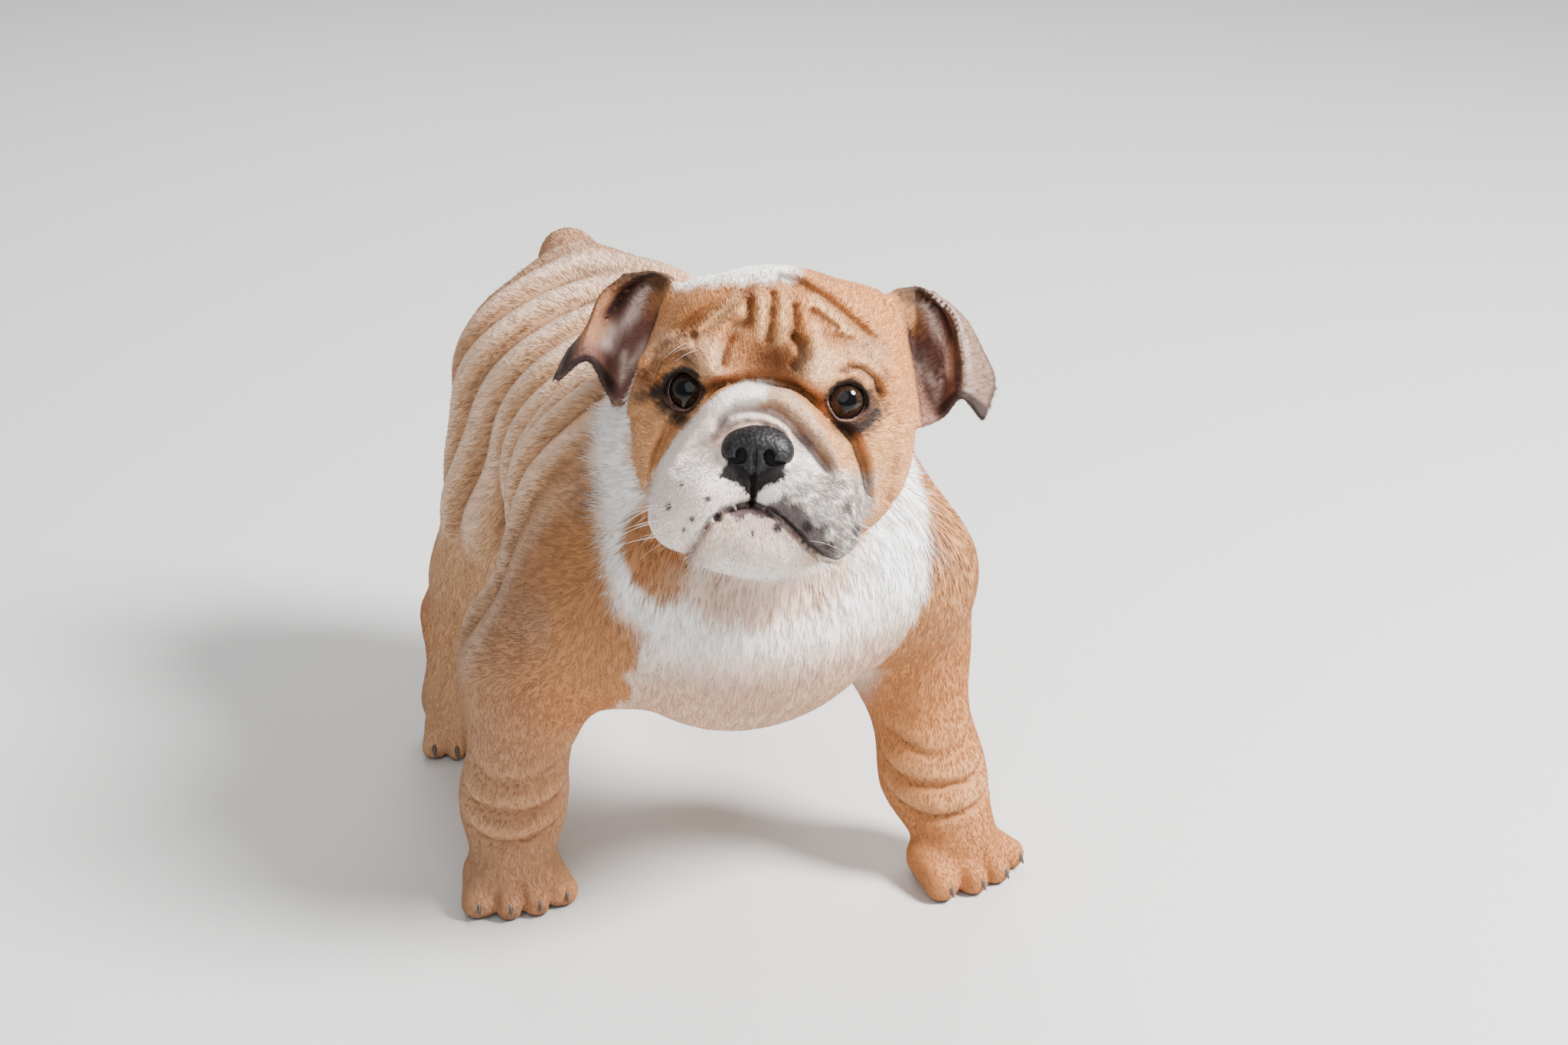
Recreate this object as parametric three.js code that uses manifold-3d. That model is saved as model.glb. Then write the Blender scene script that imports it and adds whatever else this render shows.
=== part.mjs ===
// A standing English bulldog puppy, life size, as a still museum model: millimetres, +Z up, the dog faces -Y.
// The body is one rounded form, added up from named ellipsoids and tapered limbs, and parted by thin cuts.
import * as THREE from "three";
import { mergeVertices } from "three/addons/utils/BufferGeometryUtils.js";
import Module from "manifold-3d";

const wasm = await Module();
wasm.setup();

// Sizes that drive the whole
const GAP = 0.3; // between two pieces that touch
const FRONT_PAW = 31; // unit of a front paw, about half its width
const HIND_PAW = 25; // unit of a hind paw
const EYE_SPACING = 32.8; // each eye's centre from the middle of the face
const EYE_SETBACK = 12; // eye's centre behind the front of the eyes
const LIDS_SPACING = 37.5; // middle of each eye's opening, which faces a little outward
const EYE_RADIUS = 11.5;
const EAR_THICKNESS = 3.6;
const CLAW_LENGTH = 6.5;
const CLAW_RADIUS = 2.9;

// The head's pose: turned to the dog's right, nose lifted, tipped to the dog's left
const HEAD_YAW = -31;
const HEAD_PITCH = 19;
const HEAD_ROLL = 1;
const EYE_MIDPOINT = new THREE.Vector3(-8.8, -59.6, 272.2);

const radians = THREE.MathUtils.degToRad;
const headTurn = new THREE.Matrix4()
  .makeRotationZ(radians(HEAD_YAW))
  .multiply(new THREE.Matrix4().makeRotationX(-radians(HEAD_PITCH)))
  .multiply(new THREE.Matrix4().makeRotationY(radians(HEAD_ROLL)));
const headFrame = new THREE.Matrix4().makeTranslation(EYE_MIDPOINT).multiply(headTurn);
const fromHead = headFrame.clone().invert();

// A place on the head: left, forward and up from the point between the eyes
function onHead(left, forward, up) {
  return new THREE.Vector3(left, -forward, up).applyMatrix4(headFrame);
}

// Shapes: each gives a distance, below nought inside, and a width over which it blends with what is there
function limb(from, to, radiusFrom, radiusTo, blend) {
  const a = new THREE.Vector3(...from);
  const along = new THREE.Vector3(...to).sub(a);
  const length2 = along.lengthSq();
  const distance = (x, y, z) => {
    const qx = x - a.x;
    const qy = y - a.y;
    const qz = z - a.z;
    const part = (qx * along.x + qy * along.y + qz * along.z) / length2;
    const t = Math.min(Math.max(part, 0), 1);
    const reach = Math.hypot(qx - t * along.x, qy - t * along.y, qz - t * along.z);
    return reach - radiusFrom - (radiusTo - radiusFrom) * t;
  };
  return { distance, blend };
}

function ellipsoid(centre, radii, blend, toLocal = new THREE.Matrix4()) {
  const c = new THREE.Vector3(...centre).applyMatrix4(toLocal);
  const m = toLocal.elements;
  const distance = (x, y, z) => {
    const qx = (m[0] * x + m[4] * y + m[8] * z + m[12] - c.x) / radii[0];
    const qy = (m[1] * x + m[5] * y + m[9] * z + m[13] - c.y) / radii[1];
    const qz = (m[2] * x + m[6] * y + m[10] * z + m[14] - c.z) / radii[2];
    const k = Math.hypot(qx, qy, qz);
    const slope = Math.hypot(qx / radii[0], qy / radii[1], qz / radii[2]);
    return (k * (k - 1)) / Math.max(slope, 1e-9);
  };
  return { distance, blend };
}

// The trunk is a tube along Y: at each station its middle, top, bottom and half width
const TRUNK = [
  { y: -34, middle: -8, top: 228, bottom: 114, half: 58 },
  { y: 0, middle: -2, top: 244, bottom: 106, half: 76 },
  { y: 50, middle: 0, top: 250, bottom: 103, half: 80 },
  { y: 100, middle: 3, top: 249, bottom: 105, half: 77 },
  { y: 150, middle: 6, top: 252, bottom: 117, half: 71 },
  { y: 195, middle: 8, top: 256, bottom: 136, half: 64 },
  { y: 222, middle: 9, top: 252, bottom: 152, half: 56 },
];

// A station's size between two stations, by a cubic through the sizes with the slopes of their neighbours
function trunkSize(key, i, t) {
  const slope = (j) => {
    const before = TRUNK[Math.max(j - 1, 0)];
    const after = TRUNK[Math.min(j + 1, TRUNK.length - 1)];
    return (after[key] - before[key]) / (after.y - before.y);
  };
  const step = TRUNK[i + 1].y - TRUNK[i].y;
  const stay = 2 * t ** 3 - 3 * t ** 2 + 1;
  const leave = (t ** 3 - 2 * t ** 2 + t) * step;
  const arrive = (t ** 3 - t ** 2) * step;
  return stay * TRUNK[i][key] + leave * slope(i) + (1 - stay) * TRUNK[i + 1][key] + arrive * slope(i + 1);
}

function trunkDistance(x, y, z) {
  const last = TRUNK.length - 1;
  const inside = Math.min(Math.max(y, TRUNK[0].y), TRUNK[last].y);
  let i = 0;
  while (i < last - 1 && inside > TRUNK[i + 1].y) i++;
  const t = (inside - TRUNK[i].y) / (TRUNK[i + 1].y - TRUNK[i].y);
  const top = trunkSize("top", i, t);
  const bottom = trunkSize("bottom", i, t);
  const half = trunkSize("half", i, t);
  const high = (top - bottom) / 2;
  const round = Math.hypot((x - trunkSize("middle", i, t)) / half, (z - (top + bottom) / 2) / high);
  const around = (round - 1) * Math.min(half, high);
  const beyond = Math.abs(y - inside);
  return beyond > 0 ? Math.hypot(Math.max(around, 0), beyond) : around;
}

// The body's shapes, from the trunk outward
const SIDES = [-1, 1]; // dog's right, dog's left
const bodyShapes = [
  { distance: trunkDistance, blend: 1 },
  ellipsoid([-2, -34, 160], [64, 40, 52], 36), // front of the chest
  ellipsoid([8, 220, 202], [54, 36, 46], 30), // end of the rump
  ellipsoid([12, 42, 208], [70, 44, 46], 30), // withers
  limb([6, 30, 215], [2, -6, 242], 52, 46, 34), // neck
  limb([-44, 42, 192], [-66, 12, 150], 38, 33, 36), // right shoulder
  limb([-66, 12, 150], [-88, 38, 120], 33, 29, 30),
  limb([56, 24, 212], [76, -16, 160], 35, 33, 32), // left shoulder
  limb([76, -16, 158], [90, 4, 118], 32, 28, 30),
  limb([-88, 38, 118], [-97, 42, 50], 29, 23.5, 24), // right forearm
  limb([90, 4, 118], [99, -12, 50], 28, 23.5, 22), // left forearm
  limb([-97, 42, 50], [-101, 34, 20], 24, 20, 14), // wrists
  limb([99, -12, 50], [105, -28, 20], 24, 20, 14),
];
for (const s of SIDES) {
  bodyShapes.push(
    limb([s * 30 + 8, 210, 192], [s * 50 + 8, 192, 135], 42, 35, 36), // thigh
    limb([s * 52 + 8, 184, 140], [s * 64 + 5, 206, 95], 34, 25, 26), // knee
    limb([s * 64 + 5, 206, 95], [s * 70 + 2, 228, 64], 25, 18, 20), // hock
    limb([s * 70 + 2, 228, 62], [s * 75, 214, 24], 17, 16.5, 16), // hind foot
    limb([s * 75, 214, 18], [s * 77, 196, 14], 16, 14, 12),
  );
}
bodyShapes.push(
  limb([4, 226, 238], [8, 250, 247], 24, 15, 18), // tail, a short low stump
  limb([8, 250, 247], [4, 266, 236], 15, 9, 10),
);

// The paws: a pad and four toes, each paw turned out by its own angle
const TOES = [
  { side: -1.5, reach: 0.46 },
  { side: -0.5, reach: 0.64 },
  { side: 0.5, reach: 0.64 },
  { side: 1.5, reach: 0.46 },
];
const PAWS = [
  { name: "fore_right", x: -101, y: 34, turn: -6, unit: FRONT_PAW, spread: 1 },
  { name: "fore_left", x: 104, y: -28, turn: 20, unit: FRONT_PAW, spread: 1.15 },
  { name: "hind_right", x: -77, y: 200, turn: -8, unit: HIND_PAW, spread: 1 },
  { name: "hind_left", x: 77, y: 200, turn: 8, unit: HIND_PAW, spread: 1 },
];

// A place on a paw, in units of the paw: sideways, forward and up
function onPaw(paw, side, forward, up) {
  const turn = radians(paw.turn);
  const x = side * Math.cos(turn) + forward * Math.sin(turn);
  const y = side * Math.sin(turn) - forward * Math.cos(turn);
  return [paw.x + x * paw.unit, paw.y + y * paw.unit, up * paw.unit];
}

for (const paw of PAWS) {
  const u = paw.unit;
  bodyShapes.push(ellipsoid(onPaw(paw, 0, -0.15, 0.2), [u * 0.62, u * 0.55, u * 0.34], u * 0.3));
  for (const toe of TOES) {
    const knuckle = onPaw(paw, toe.side * 0.3 * paw.spread, -0.1, 0.42);
    const tip = onPaw(paw, toe.side * 0.44 * paw.spread, toe.reach, 0.22);
    bodyShapes.push(limb(knuckle, tip, u * 0.32, u * 0.26, u * 0.2));
  }
}

// The head's shapes, in the head's own left, forward and up
const headBall = (l, f, u, radii, blend) => ellipsoid(onHead(l, f, u).toArray(), radii, blend, fromHead);
const headLimb = (from, to, radiusFrom, radiusTo, blend) =>
  limb(onHead(...from).toArray(), onHead(...to).toArray(), radiusFrom, radiusTo, blend);
const headShapes = [
  headBall(0, -46, 8, [57, 46, 50], 24), // skull
  headBall(0, -18, 28, [42, 20, 26], 22), // forehead
];
for (const s of SIDES) {
  headShapes.push(
    headBall(s * 38, -46, 30, [14, 17, 18], 18), // below the ear
    headBall(s * 39, -32, -18, [25, 29, 38], 18), // cheek
    headLimb([s * 49, -18, 9], [s * 20, -7, 17], 8, 10, 12), // brow
    headLimb([s * 50, -18, -15], [s * 34, -8, -15], 9, 9.5, 12), // under the eye
    headLimb([s * 14, 15, -38], [s * 32, 7, -55], 15.5, 13.5, 9), // hanging upper lip
    headLimb([s * 12, 7, -6], [s * 35, 0, -34], 12, 12.5, 10), // side of the muzzle
  );
}
headShapes.push(
  headBall(0, 8, -18, [24, 20, 20], 10), // top of the muzzle
  headLimb([-13, 11, -62], [13, 11, -62], 13.5, 13.5, 9), // chin
  headLimb([0, -16, -48], [0, -60, -56], 27, 38, 26), // throat
);
const sockets = SIDES.map((s) => headBall(s * LIDS_SPACING, 3, 0, [12, 8.5, 9], 0));
const HEAD_BLEND = 14;
const SOCKET_BLEND = 5;

// The smaller of two distances, rounded over a width k
function blended(a, b, k) {
  const near = Math.max(k - Math.abs(a - b), 0) / k;
  return Math.min(a, b) - near * near * k * 0.25;
}

function joined(shapes, x, y, z) {
  let d = shapes[0].distance(x, y, z);
  for (let i = 1; i < shapes.length; i++) {
    d = blended(d, shapes[i].distance(x, y, z), shapes[i].blend);
  }
  return d;
}

function dogDistance(x, y, z) {
  const body = joined(bodyShapes, x, y, z);
  const head = joined(headShapes, x, y, z);
  let d = blended(body, head, HEAD_BLEND);
  for (const socket of sockets) {
    d = -blended(-d, socket.distance(x, y, z), SOCKET_BLEND);
  }
  return d;
}

// Even steps along an axis
function steps(start, end, step) {
  const count = Math.round((end - start) / step);
  return Array.from({ length: count + 1 }, (_, i) => start + ((end - start) * i) / count);
}

// A closed surface where the distance is nought: one point in each crossed cell of a grid, drawn onto the
// surface along its slope, and two triangles across each crossed edge
function surfaceOf(distance, xs, ys, zs) {
  const [nx, ny, nz] = [xs.length, ys.length, zs.length];
  const values = new Float64Array(nx * ny * nz);
  const at = (i, j, k) => (i * ny + j) * nz + k;
  for (let i = 0; i < nx; i++) {
    for (let j = 0; j < ny; j++) {
      for (let k = 0; k < nz; k++) values[at(i, j, k)] = distance(xs[i], ys[j], zs[k]);
    }
  }
  const points = [];
  const cell = new Int32Array(nx * ny * nz).fill(-1);
  const corners = [0, 1, 2, 3, 4, 5, 6, 7].map((c) => [c & 1, (c >> 1) & 1, (c >> 2) & 1]);
  const edges = [];
  for (const c of corners) {
    for (let axis = 0; axis < 3; axis++) {
      if (c[axis] === 0) edges.push([c, c.map((v, n) => (n === axis ? 1 : v))]);
    }
  }
  for (let i = 0; i < nx - 1; i++) {
    for (let j = 0; j < ny - 1; j++) {
      for (let k = 0; k < nz - 1; k++) {
        const sum = [0, 0, 0];
        let crossings = 0;
        for (const [a, b] of edges) {
          const va = values[at(i + a[0], j + a[1], k + a[2])];
          const vb = values[at(i + b[0], j + b[1], k + b[2])];
          if (va < 0 === vb < 0) continue;
          const t = va / (va - vb);
          const place = (grid, n, m) => grid[n + a[m]] + t * (grid[n + b[m]] - grid[n + a[m]]);
          sum[0] += place(xs, i, 0);
          sum[1] += place(ys, j, 1);
          sum[2] += place(zs, k, 2);
          crossings++;
        }
        if (crossings === 0) continue;
        const size = Math.min(xs[i + 1] - xs[i], ys[j + 1] - ys[j], zs[k + 1] - zs[k]);
        cell[at(i, j, k)] = points.length;
        points.push(drawnOnto(distance, sum.map((v) => v / crossings), size / 3));
      }
    }
  }
  const index = [];
  for (let i = 1; i < nx - 1; i++) {
    for (let j = 1; j < ny - 1; j++) {
      for (let k = 1; k < nz - 1; k++) {
        for (let axis = 0; axis < 3; axis++) {
          const next = [i, j, k];
          next[axis]++;
          const va = values[at(i, j, k)];
          const vb = values[at(...next)];
          if (va < 0 === vb < 0) continue;
          const around = (p, q) => {
            const c = [i, j, k];
            c[(axis + 1) % 3] -= p;
            c[(axis + 2) % 3] -= q;
            return cell[at(...c)];
          };
          const ring = [around(1, 1), around(0, 1), around(0, 0), around(1, 0)];
          if (va >= 0) ring.reverse();
          index.push(...split(ring, points));
        }
      }
    }
  }
  return toSolid(points.flat(), index);
}

// A point moved onto the surface, no further than a limit
function drawnOnto(distance, point, limit) {
  const p = [...point];
  const h = 0.05;
  for (let turn = 0; turn < 3; turn++) {
    const d = distance(...p);
    const slope = [0, 1, 2].map((n) => {
      const q = [...p];
      q[n] += h;
      return (distance(...q) - d) / h;
    });
    const steep = Math.max(slope[0] ** 2 + slope[1] ** 2 + slope[2] ** 2, 0.1);
    for (let n = 0; n < 3; n++) {
      const moved = p[n] - (d * slope[n]) / steep;
      p[n] = Math.min(Math.max(moved, point[n] - limit), point[n] + limit);
    }
  }
  return p;
}

// A four-sided ring as two triangles, across its shorter diagonal
function split([a, b, c, d], points) {
  const apart = (m, n) => Math.hypot(...points[m].map((v, i) => v - points[n][i]));
  return apart(a, c) <= apart(b, d) ? [a, b, c, a, c, d] : [a, b, d, b, c, d];
}

// Between points with triangles, a faceted geometry, and a solid that can be cut
function toSolid(positions, index) {
  const made = new wasm.Mesh({
    numProp: 3,
    vertProperties: new Float32Array(positions),
    triVerts: new Uint32Array(index),
  });
  return new wasm.Manifold(made);
}

function solidOf(geometry) {
  const bare = new THREE.BufferGeometry();
  bare.setAttribute("position", geometry.getAttribute("position"));
  bare.setIndex(geometry.index);
  const merged = mergeVertices(bare, 1e-4);
  return toSolid(merged.getAttribute("position").array, merged.index.array);
}

function placed(geometry, centre, turn = new THREE.Quaternion()) {
  return solidOf(geometry.applyQuaternion(turn).translate(centre.x, centre.y, centre.z));
}

const UP = new THREE.Vector3(0, 0, 1);
const headQuaternion = new THREE.Quaternion().setFromRotationMatrix(headTurn);

// A thin flat cut: its centre, the way it faces, and its half width and half height
function slit(centre, facing, halfWide, halfHigh) {
  const turn = new THREE.Quaternion().setFromUnitVectors(UP, new THREE.Vector3(...facing).normalize());
  const plate = new THREE.BoxGeometry(2 * halfWide, 2 * halfHigh, GAP);
  return placed(plate, new THREE.Vector3(...centre), turn);
}

// A ball in the head's frame, stretched along left, forward and up
function headBody(l, f, u, radii, across, down) {
  const ball = new THREE.SphereGeometry(1, across, down);
  ball.scale(...radii);
  return placed(ball, onHead(l, f, u), headQuaternion);
}

// The form over one box of space: closed at the box's sides, and flat on the floor
const BENEATH = 30;
const below = placed(new THREE.BoxGeometry(600, 800, BENEATH), new THREE.Vector3(0, 80, -BENEATH / 2));
function formWithin(low, high, step) {
  const within = (x, y, z) => {
    const out = Math.max(low[0] - x, x - high[0], low[1] - y, y - high[1], low[2] - z, z - high[2]);
    return Math.max(dogDistance(x, y, z), out);
  };
  const grid = [0, 1, 2].map((n) => steps(low[n] - 1.3 * step, high[n] + 1.3 * step, step));
  return surfaceOf(within, ...grid).subtract(below);
}

// Cuts that part it where a person names the parts
const CUTS = [
  slit([2, 0, 198], [0, -0.6, 0.8], 130, 120), // foot of the neck
  slit([0, 80, 170], [0, 1, 0], 110, 110), // behind the shoulders
  slit([0, 142, 180], [0, 1, 0], 110, 90), // before the thighs
  slit([-95, 36, 104], [0.2, 0, 0.98], 48, 46), // right elbow
  slit([102, -4, 104], [-0.15, 0, 0.99], 50, 48), // left elbow
  slit([8, 247, 243], [0, 0.84, 0.55], 46, 44), // root of the tail
];
for (const s of SIDES) {
  CUTS.push(
    slit([s * 62 + 8, 192, 146], [s * 0.62, 0.05, -0.78], 60, 62), // thigh and rump
    slit([s * 60 + 5, 206, 96], [0, -0.5, 0.86], 46, 44), // knee
  );
}
// Round the head the cut is the shell of a ball, and behind the ears it is flat
const NAPE = 70; // how far behind the eyes the head ends
function headRoom(grow) {
  const wide = 300;
  const block = new THREE.BoxGeometry(wide, wide, wide);
  const ahead = placed(block, onHead(0, wide / 2 - NAPE - grow, 0), headQuaternion);
  return headBody(0, 2, 0, [84 + grow, 95 + grow, 86 + grow], 16, 10).intersect(ahead);
}

// The ear: five rows of places from its top fold to its lobe, each from the front edge to the flap's tip
const LEFT_EAR = [
  [[47, -36, 44], [51, -44, 49], [57, -50, 51], [62, -50, 50], [66, -52, 49]],
  [[49, -36, 36], [57, -54, 41], [67, -60, 44], [74, -49, 41], [79, -56, 39]],
  [[52, -36, 26], [58, -60, 27], [71, -67, 29], [79, -48, 27], [88, -58, 25]],
  [[56, -36, 12], [61, -58, 11], [72, -66, 12], [81, -47, 14], [94, -56, 12]],
  [[61, -38, -7], [65, -46, -8], [73, -52, -4], [81, -47, 5], [91, -50, -4]],
];
const RIGHT_EAR = [
  [[47, -36, 44], [53, -44, 49], [61, -50, 51], [69, -50, 50], [74, -52, 49]],
  [[49, -36, 36], [59, -54, 41], [71, -60, 44], [81, -49, 41], [84, -57, 39]],
  [[52, -36, 26], [60, -60, 27], [75, -67, 29], [86, -48, 27], [90, -59, 25]],
  [[56, -36, 12], [63, -58, 11], [76, -66, 12], [88, -46, 17], [98, -55, 13]],
  [[61, -38, -7], [67, -46, -8], [77, -52, -4], [87, -46, 11], [102, -47, 0]],
];
const EAR_ACROSS = 7;

function ear(side, grow) {
  const places = side < 0 ? RIGHT_EAR : LEFT_EAR;
  const place = ([l, f, u]) => onHead(side * l, f, u);
  const rows = places.map((row) => new THREE.CatmullRomCurve3(row.map(place)).getPoints(EAR_ACROSS));
  const columns = rows[0].map((_, j) => new THREE.CatmullRomCurve3(rows.map((row) => row[j])));
  const grid = columns.map((column) => column.getPoints(EAR_ACROSS));
  const n = EAR_ACROSS + 1;
  const positions = [];
  for (const face of [0.5, -0.5]) {
    for (let j = 0; j < n; j++) {
      for (let i = 0; i < n; i++) {
        const along = grid[j][Math.min(i + 1, n - 1)].clone().sub(grid[j][Math.max(i - 1, 0)]);
        const across = grid[Math.min(j + 1, n - 1)][i].clone().sub(grid[Math.max(j - 1, 0)][i]);
        const point = grid[j][i].clone();
        point.addScaledVector(along.normalize(), grow * ((i === n - 1) - (i === 0)));
        point.addScaledVector(across.normalize(), grow * ((j === n - 1) - (j === 0)));
        const out = across.clone().cross(along).normalize();
        point.addScaledVector(out, face * (EAR_THICKNESS + 2 * grow));
        positions.push(...point.toArray());
      }
    }
  }
  const index = [];
  const quad = (a, b, c, d) => index.push(a, b, c, a, c, d);
  const back = n * n;
  for (let j = 0; j < n - 1; j++) {
    for (let i = 0; i < n - 1; i++) {
      const a = j * n + i;
      quad(a, a + n, a + n + 1, a + 1);
      quad(back + a, back + a + 1, back + a + n + 1, back + a + n);
    }
  }
  for (let m = 0; m < n - 1; m++) {
    const low = m;
    const high = (n - 1) * n + m;
    const near = m * n;
    const far = m * n + n - 1;
    quad(low, low + 1, back + low + 1, back + low);
    quad(high + 1, high, back + high, back + high + 1);
    quad(near + n, near, back + near, back + near + n);
    quad(far, far + n, back + far + n, back + far);
  }
  return toSolid(positions, index);
}

// The pieces set into the head: each with the larger body that makes room for it
const NOSE_PLACE = [2, 25, -22]; // a little off the middle
const NOSE_RADII = [15.5, 11, 11];
const grown = (radii, by) => radii.map((r) => r + by);
const inserts = [{
  name: "nose",
  body: headBody(...NOSE_PLACE, NOSE_RADII, 14, 8),
  room: headBody(...NOSE_PLACE, grown(NOSE_RADII, GAP), 14, 8),
}];
for (const s of SIDES) {
  const side = s < 0 ? "right" : "left";
  const eyeball = (grow) => {
    const r = EYE_RADIUS + grow;
    return headBody(s * EYE_SPACING, -EYE_SETBACK, 0, [r, r, r], 14, 8);
  };
  inserts.push({ name: `eye_${side}`, body: eyeball(0), room: eyeball(GAP) });
  inserts.push({ name: `ear_${side}`, body: ear(s, 0), room: ear(s, GAP) });
}

// The chin: the part of the head within a block below the mouth
const CHIN = { half: 25, top: -50.5, back: -6, high: 36, long: 60 };
const chinBlock = (grow) => {
  const block = new THREE.BoxGeometry(2 * (CHIN.half + grow), CHIN.long, CHIN.high);
  const middle = onHead(0, CHIN.back + CHIN.long / 2 - grow, CHIN.top - CHIN.high / 2 + grow);
  return placed(block, middle, headQuaternion);
};

// A claw: a tapered peg that bends down, its root inside the toe
function claw(paw, toe, grow) {
  const u = paw.unit;
  const across = toe.side * 0.45 * paw.spread;
  const root = new THREE.Vector3(...onPaw(paw, across, toe.reach + 0.06, 0.28));
  const tip = new THREE.Vector3(...onPaw(paw, across * 1.06, toe.reach + 0.06 + CLAW_LENGTH / u, 0.1));
  const peg = new THREE.CylinderGeometry(1 + grow, CLAW_RADIUS + grow, root.distanceTo(tip) + 2 * grow, 6, 1);
  const turn = new THREE.Quaternion().setFromUnitVectors(
    new THREE.Vector3(0, 1, 0),
    tip.clone().sub(root).normalize(),
  );
  return placed(peg, root.clone().add(tip).multiplyScalar(0.5), turn);
}
for (const paw of PAWS) {
  TOES.forEach((toe, n) => {
    inserts.push({
      name: `claw_${paw.name}_${n + 1}`,
      body: claw(paw, toe, 0),
      room: claw(paw, toe, GAP),
    });
  });
}

// The head and the paws are faceted more finely than the rest, so each has its own grid
const HEAD_BOX = { low: [-84, -126, 172], high: [90, 52, 330] };
const WRIST = 46;
const HOCK = 58;
const slab = (bottom, top) => {
  const block = new THREE.BoxGeometry(600, 800, top - bottom);
  return placed(block, new THREE.Vector3(0, 80, (bottom + top) / 2));
};
const HEAD_STEP = 9.0;
const PAW_STEP = 9.6;
const BODY_STEP = 16;
const head = formWithin(HEAD_BOX.low, HEAD_BOX.high, HEAD_STEP).intersect(headRoom(0));
const paws = PAWS.map((paw) => {
  const top = paw.unit === FRONT_PAW ? WRIST : HOCK;
  const low = [paw.x - 47, paw.y - 40, -8];
  const high = [paw.x + 48, paw.y + 62, top + 9];
  return formWithin(low, high, PAW_STEP).intersect(slab(-1, top));
});
const front = new THREE.BoxGeometry(600, 340, 200);
const hind = new THREE.BoxGeometry(600, 340, 200);
let flesh = formWithin([-150, -120, 34], [150, 290, 330], BODY_STEP)
  .subtract(headRoom(GAP))
  .subtract(placed(front, new THREE.Vector3(0, 142 - 170, WRIST + GAP - 100)))
  .subtract(placed(hind, new THREE.Vector3(0, 142 + 170, HOCK + GAP - 100)));
for (const cut of CUTS) flesh = flesh.subtract(cut);
for (const piece of [head, ...paws]) flesh = flesh.add(piece);
for (const insert of inserts) flesh = flesh.subtract(insert.room);
const chin = flesh.intersect(chinBlock(0));
flesh = flesh.subtract(chinBlock(GAP)).add(chin);

function separateBodies(solid) {
  const mesh = solid.getMesh();
  const count = mesh.vertProperties.length / 3;
  const parent = Array.from({ length: count }, (_, i) => i);
  const find = (a) => {
    while (parent[a] !== a) {
      parent[a] = parent[parent[a]];
      a = parent[a];
    }
    return a;
  };
  for (let t = 0; t < mesh.triVerts.length; t += 3) {
    const a = find(mesh.triVerts[t]);
    parent[find(mesh.triVerts[t + 1])] = a;
    parent[find(mesh.triVerts[t + 2])] = a;
  }
  const bodies = new Map();
  for (let t = 0; t < mesh.triVerts.length; t += 3) {
    const body = find(mesh.triVerts[t]);
    if (!bodies.has(body)) bodies.set(body, []);
    bodies.get(body).push(...mesh.triVerts.slice(t, t + 3));
  }
  return [...bodies.values()].map((index) => geometryOf(mesh.vertProperties, index));
}

// The same triangles without edges too short to matter
const SHORTEST = 0.02;
function withoutShortEdges(positions, index) {
  const parent = new Map();
  const find = (a) => {
    while (parent.has(a)) a = parent.get(a);
    return a;
  };
  const apart = (a, b) => Math.hypot(...[0, 1, 2].map((n) => positions[3 * a + n] - positions[3 * b + n]));
  for (let t = 0; t < index.length; t += 3) {
    for (let m = 0; m < 3; m++) {
      const a = find(index[t + m]);
      const b = find(index[t + ((m + 1) % 3)]);
      if (a !== b && apart(a, b) < SHORTEST) parent.set(a, b);
    }
  }
  const kept = [];
  for (let t = 0; t < index.length; t += 3) {
    const [a, b, c] = [0, 1, 2].map((m) => find(index[t + m]));
    if (a !== b && b !== c && c !== a) kept.push(a, b, c);
  }
  return kept;
}

function geometryOf(positions, index) {
  const numbers = new Map();
  const kept = [];
  const renumbered = [];
  for (const v of withoutShortEdges(positions, index)) {
    if (!numbers.has(v)) {
      numbers.set(v, numbers.size);
      kept.push(positions[3 * v], positions[3 * v + 1], positions[3 * v + 2]);
    }
    renumbered.push(numbers.get(v));
  }
  const geometry = new THREE.BufferGeometry();
  geometry.setAttribute("position", new THREE.Float32BufferAttribute(kept, 3));
  geometry.setIndex(renumbered);
  return geometry;
}

// A rough middle of each fleshy part, by which its body is known
const MIDDLES = {
  head: [3, -39, 253],
  chin: [-25, -80, 216],
  neck: [13, 3, 215],
  chest: [0, 4, 177],
  barrel: [0, 111, 180],
  rump: [8, 202, 186],
  tail: [8, 242, 243],
  forearm_right: [-90, 37, 78],
  forearm_left: [93, -4, 77],
  forepaw_right: [-100, 38, 23],
  forepaw_left: [105, -20, 23],
  thigh_right: [-49, 188, 123],
  thigh_left: [62, 189, 123],
  hock_right: [-56, 214, 84],
  hock_left: [67, 214, 84],
  hindpaw_right: [-73, 214, 30],
  hindpaw_left: [75, 214, 30],
};

const COLOURS = {
  tan: { color: 0xbe9673, roughness: 0.85, metalness: 0 },
  white: { color: 0xe6dfd6, roughness: 0.85, metalness: 0 },
  pink: { color: 0xd9bdb0, roughness: 0.8, metalness: 0 },
  ear: { color: 0x8f6a55, roughness: 0.85, metalness: 0 },
  leather: { color: 0x1d1c20, roughness: 0.5, metalness: 0 },
  eye: { color: 0x24150e, roughness: 0.15, metalness: 0 },
  horn: { color: 0x2a2320, roughness: 0.4, metalness: 0 },
};
const COLOUR_OF = { neck: "white", chest: "white", chin: "pink", nose: "leather" };

function colourOf(name) {
  if (COLOUR_OF[name]) return COLOURS[COLOUR_OF[name]];
  const start = name.split("_")[0];
  return COLOURS[{ claw: "horn", eye: "eye", ear: "ear" }[start] ?? "tan"];
}

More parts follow.
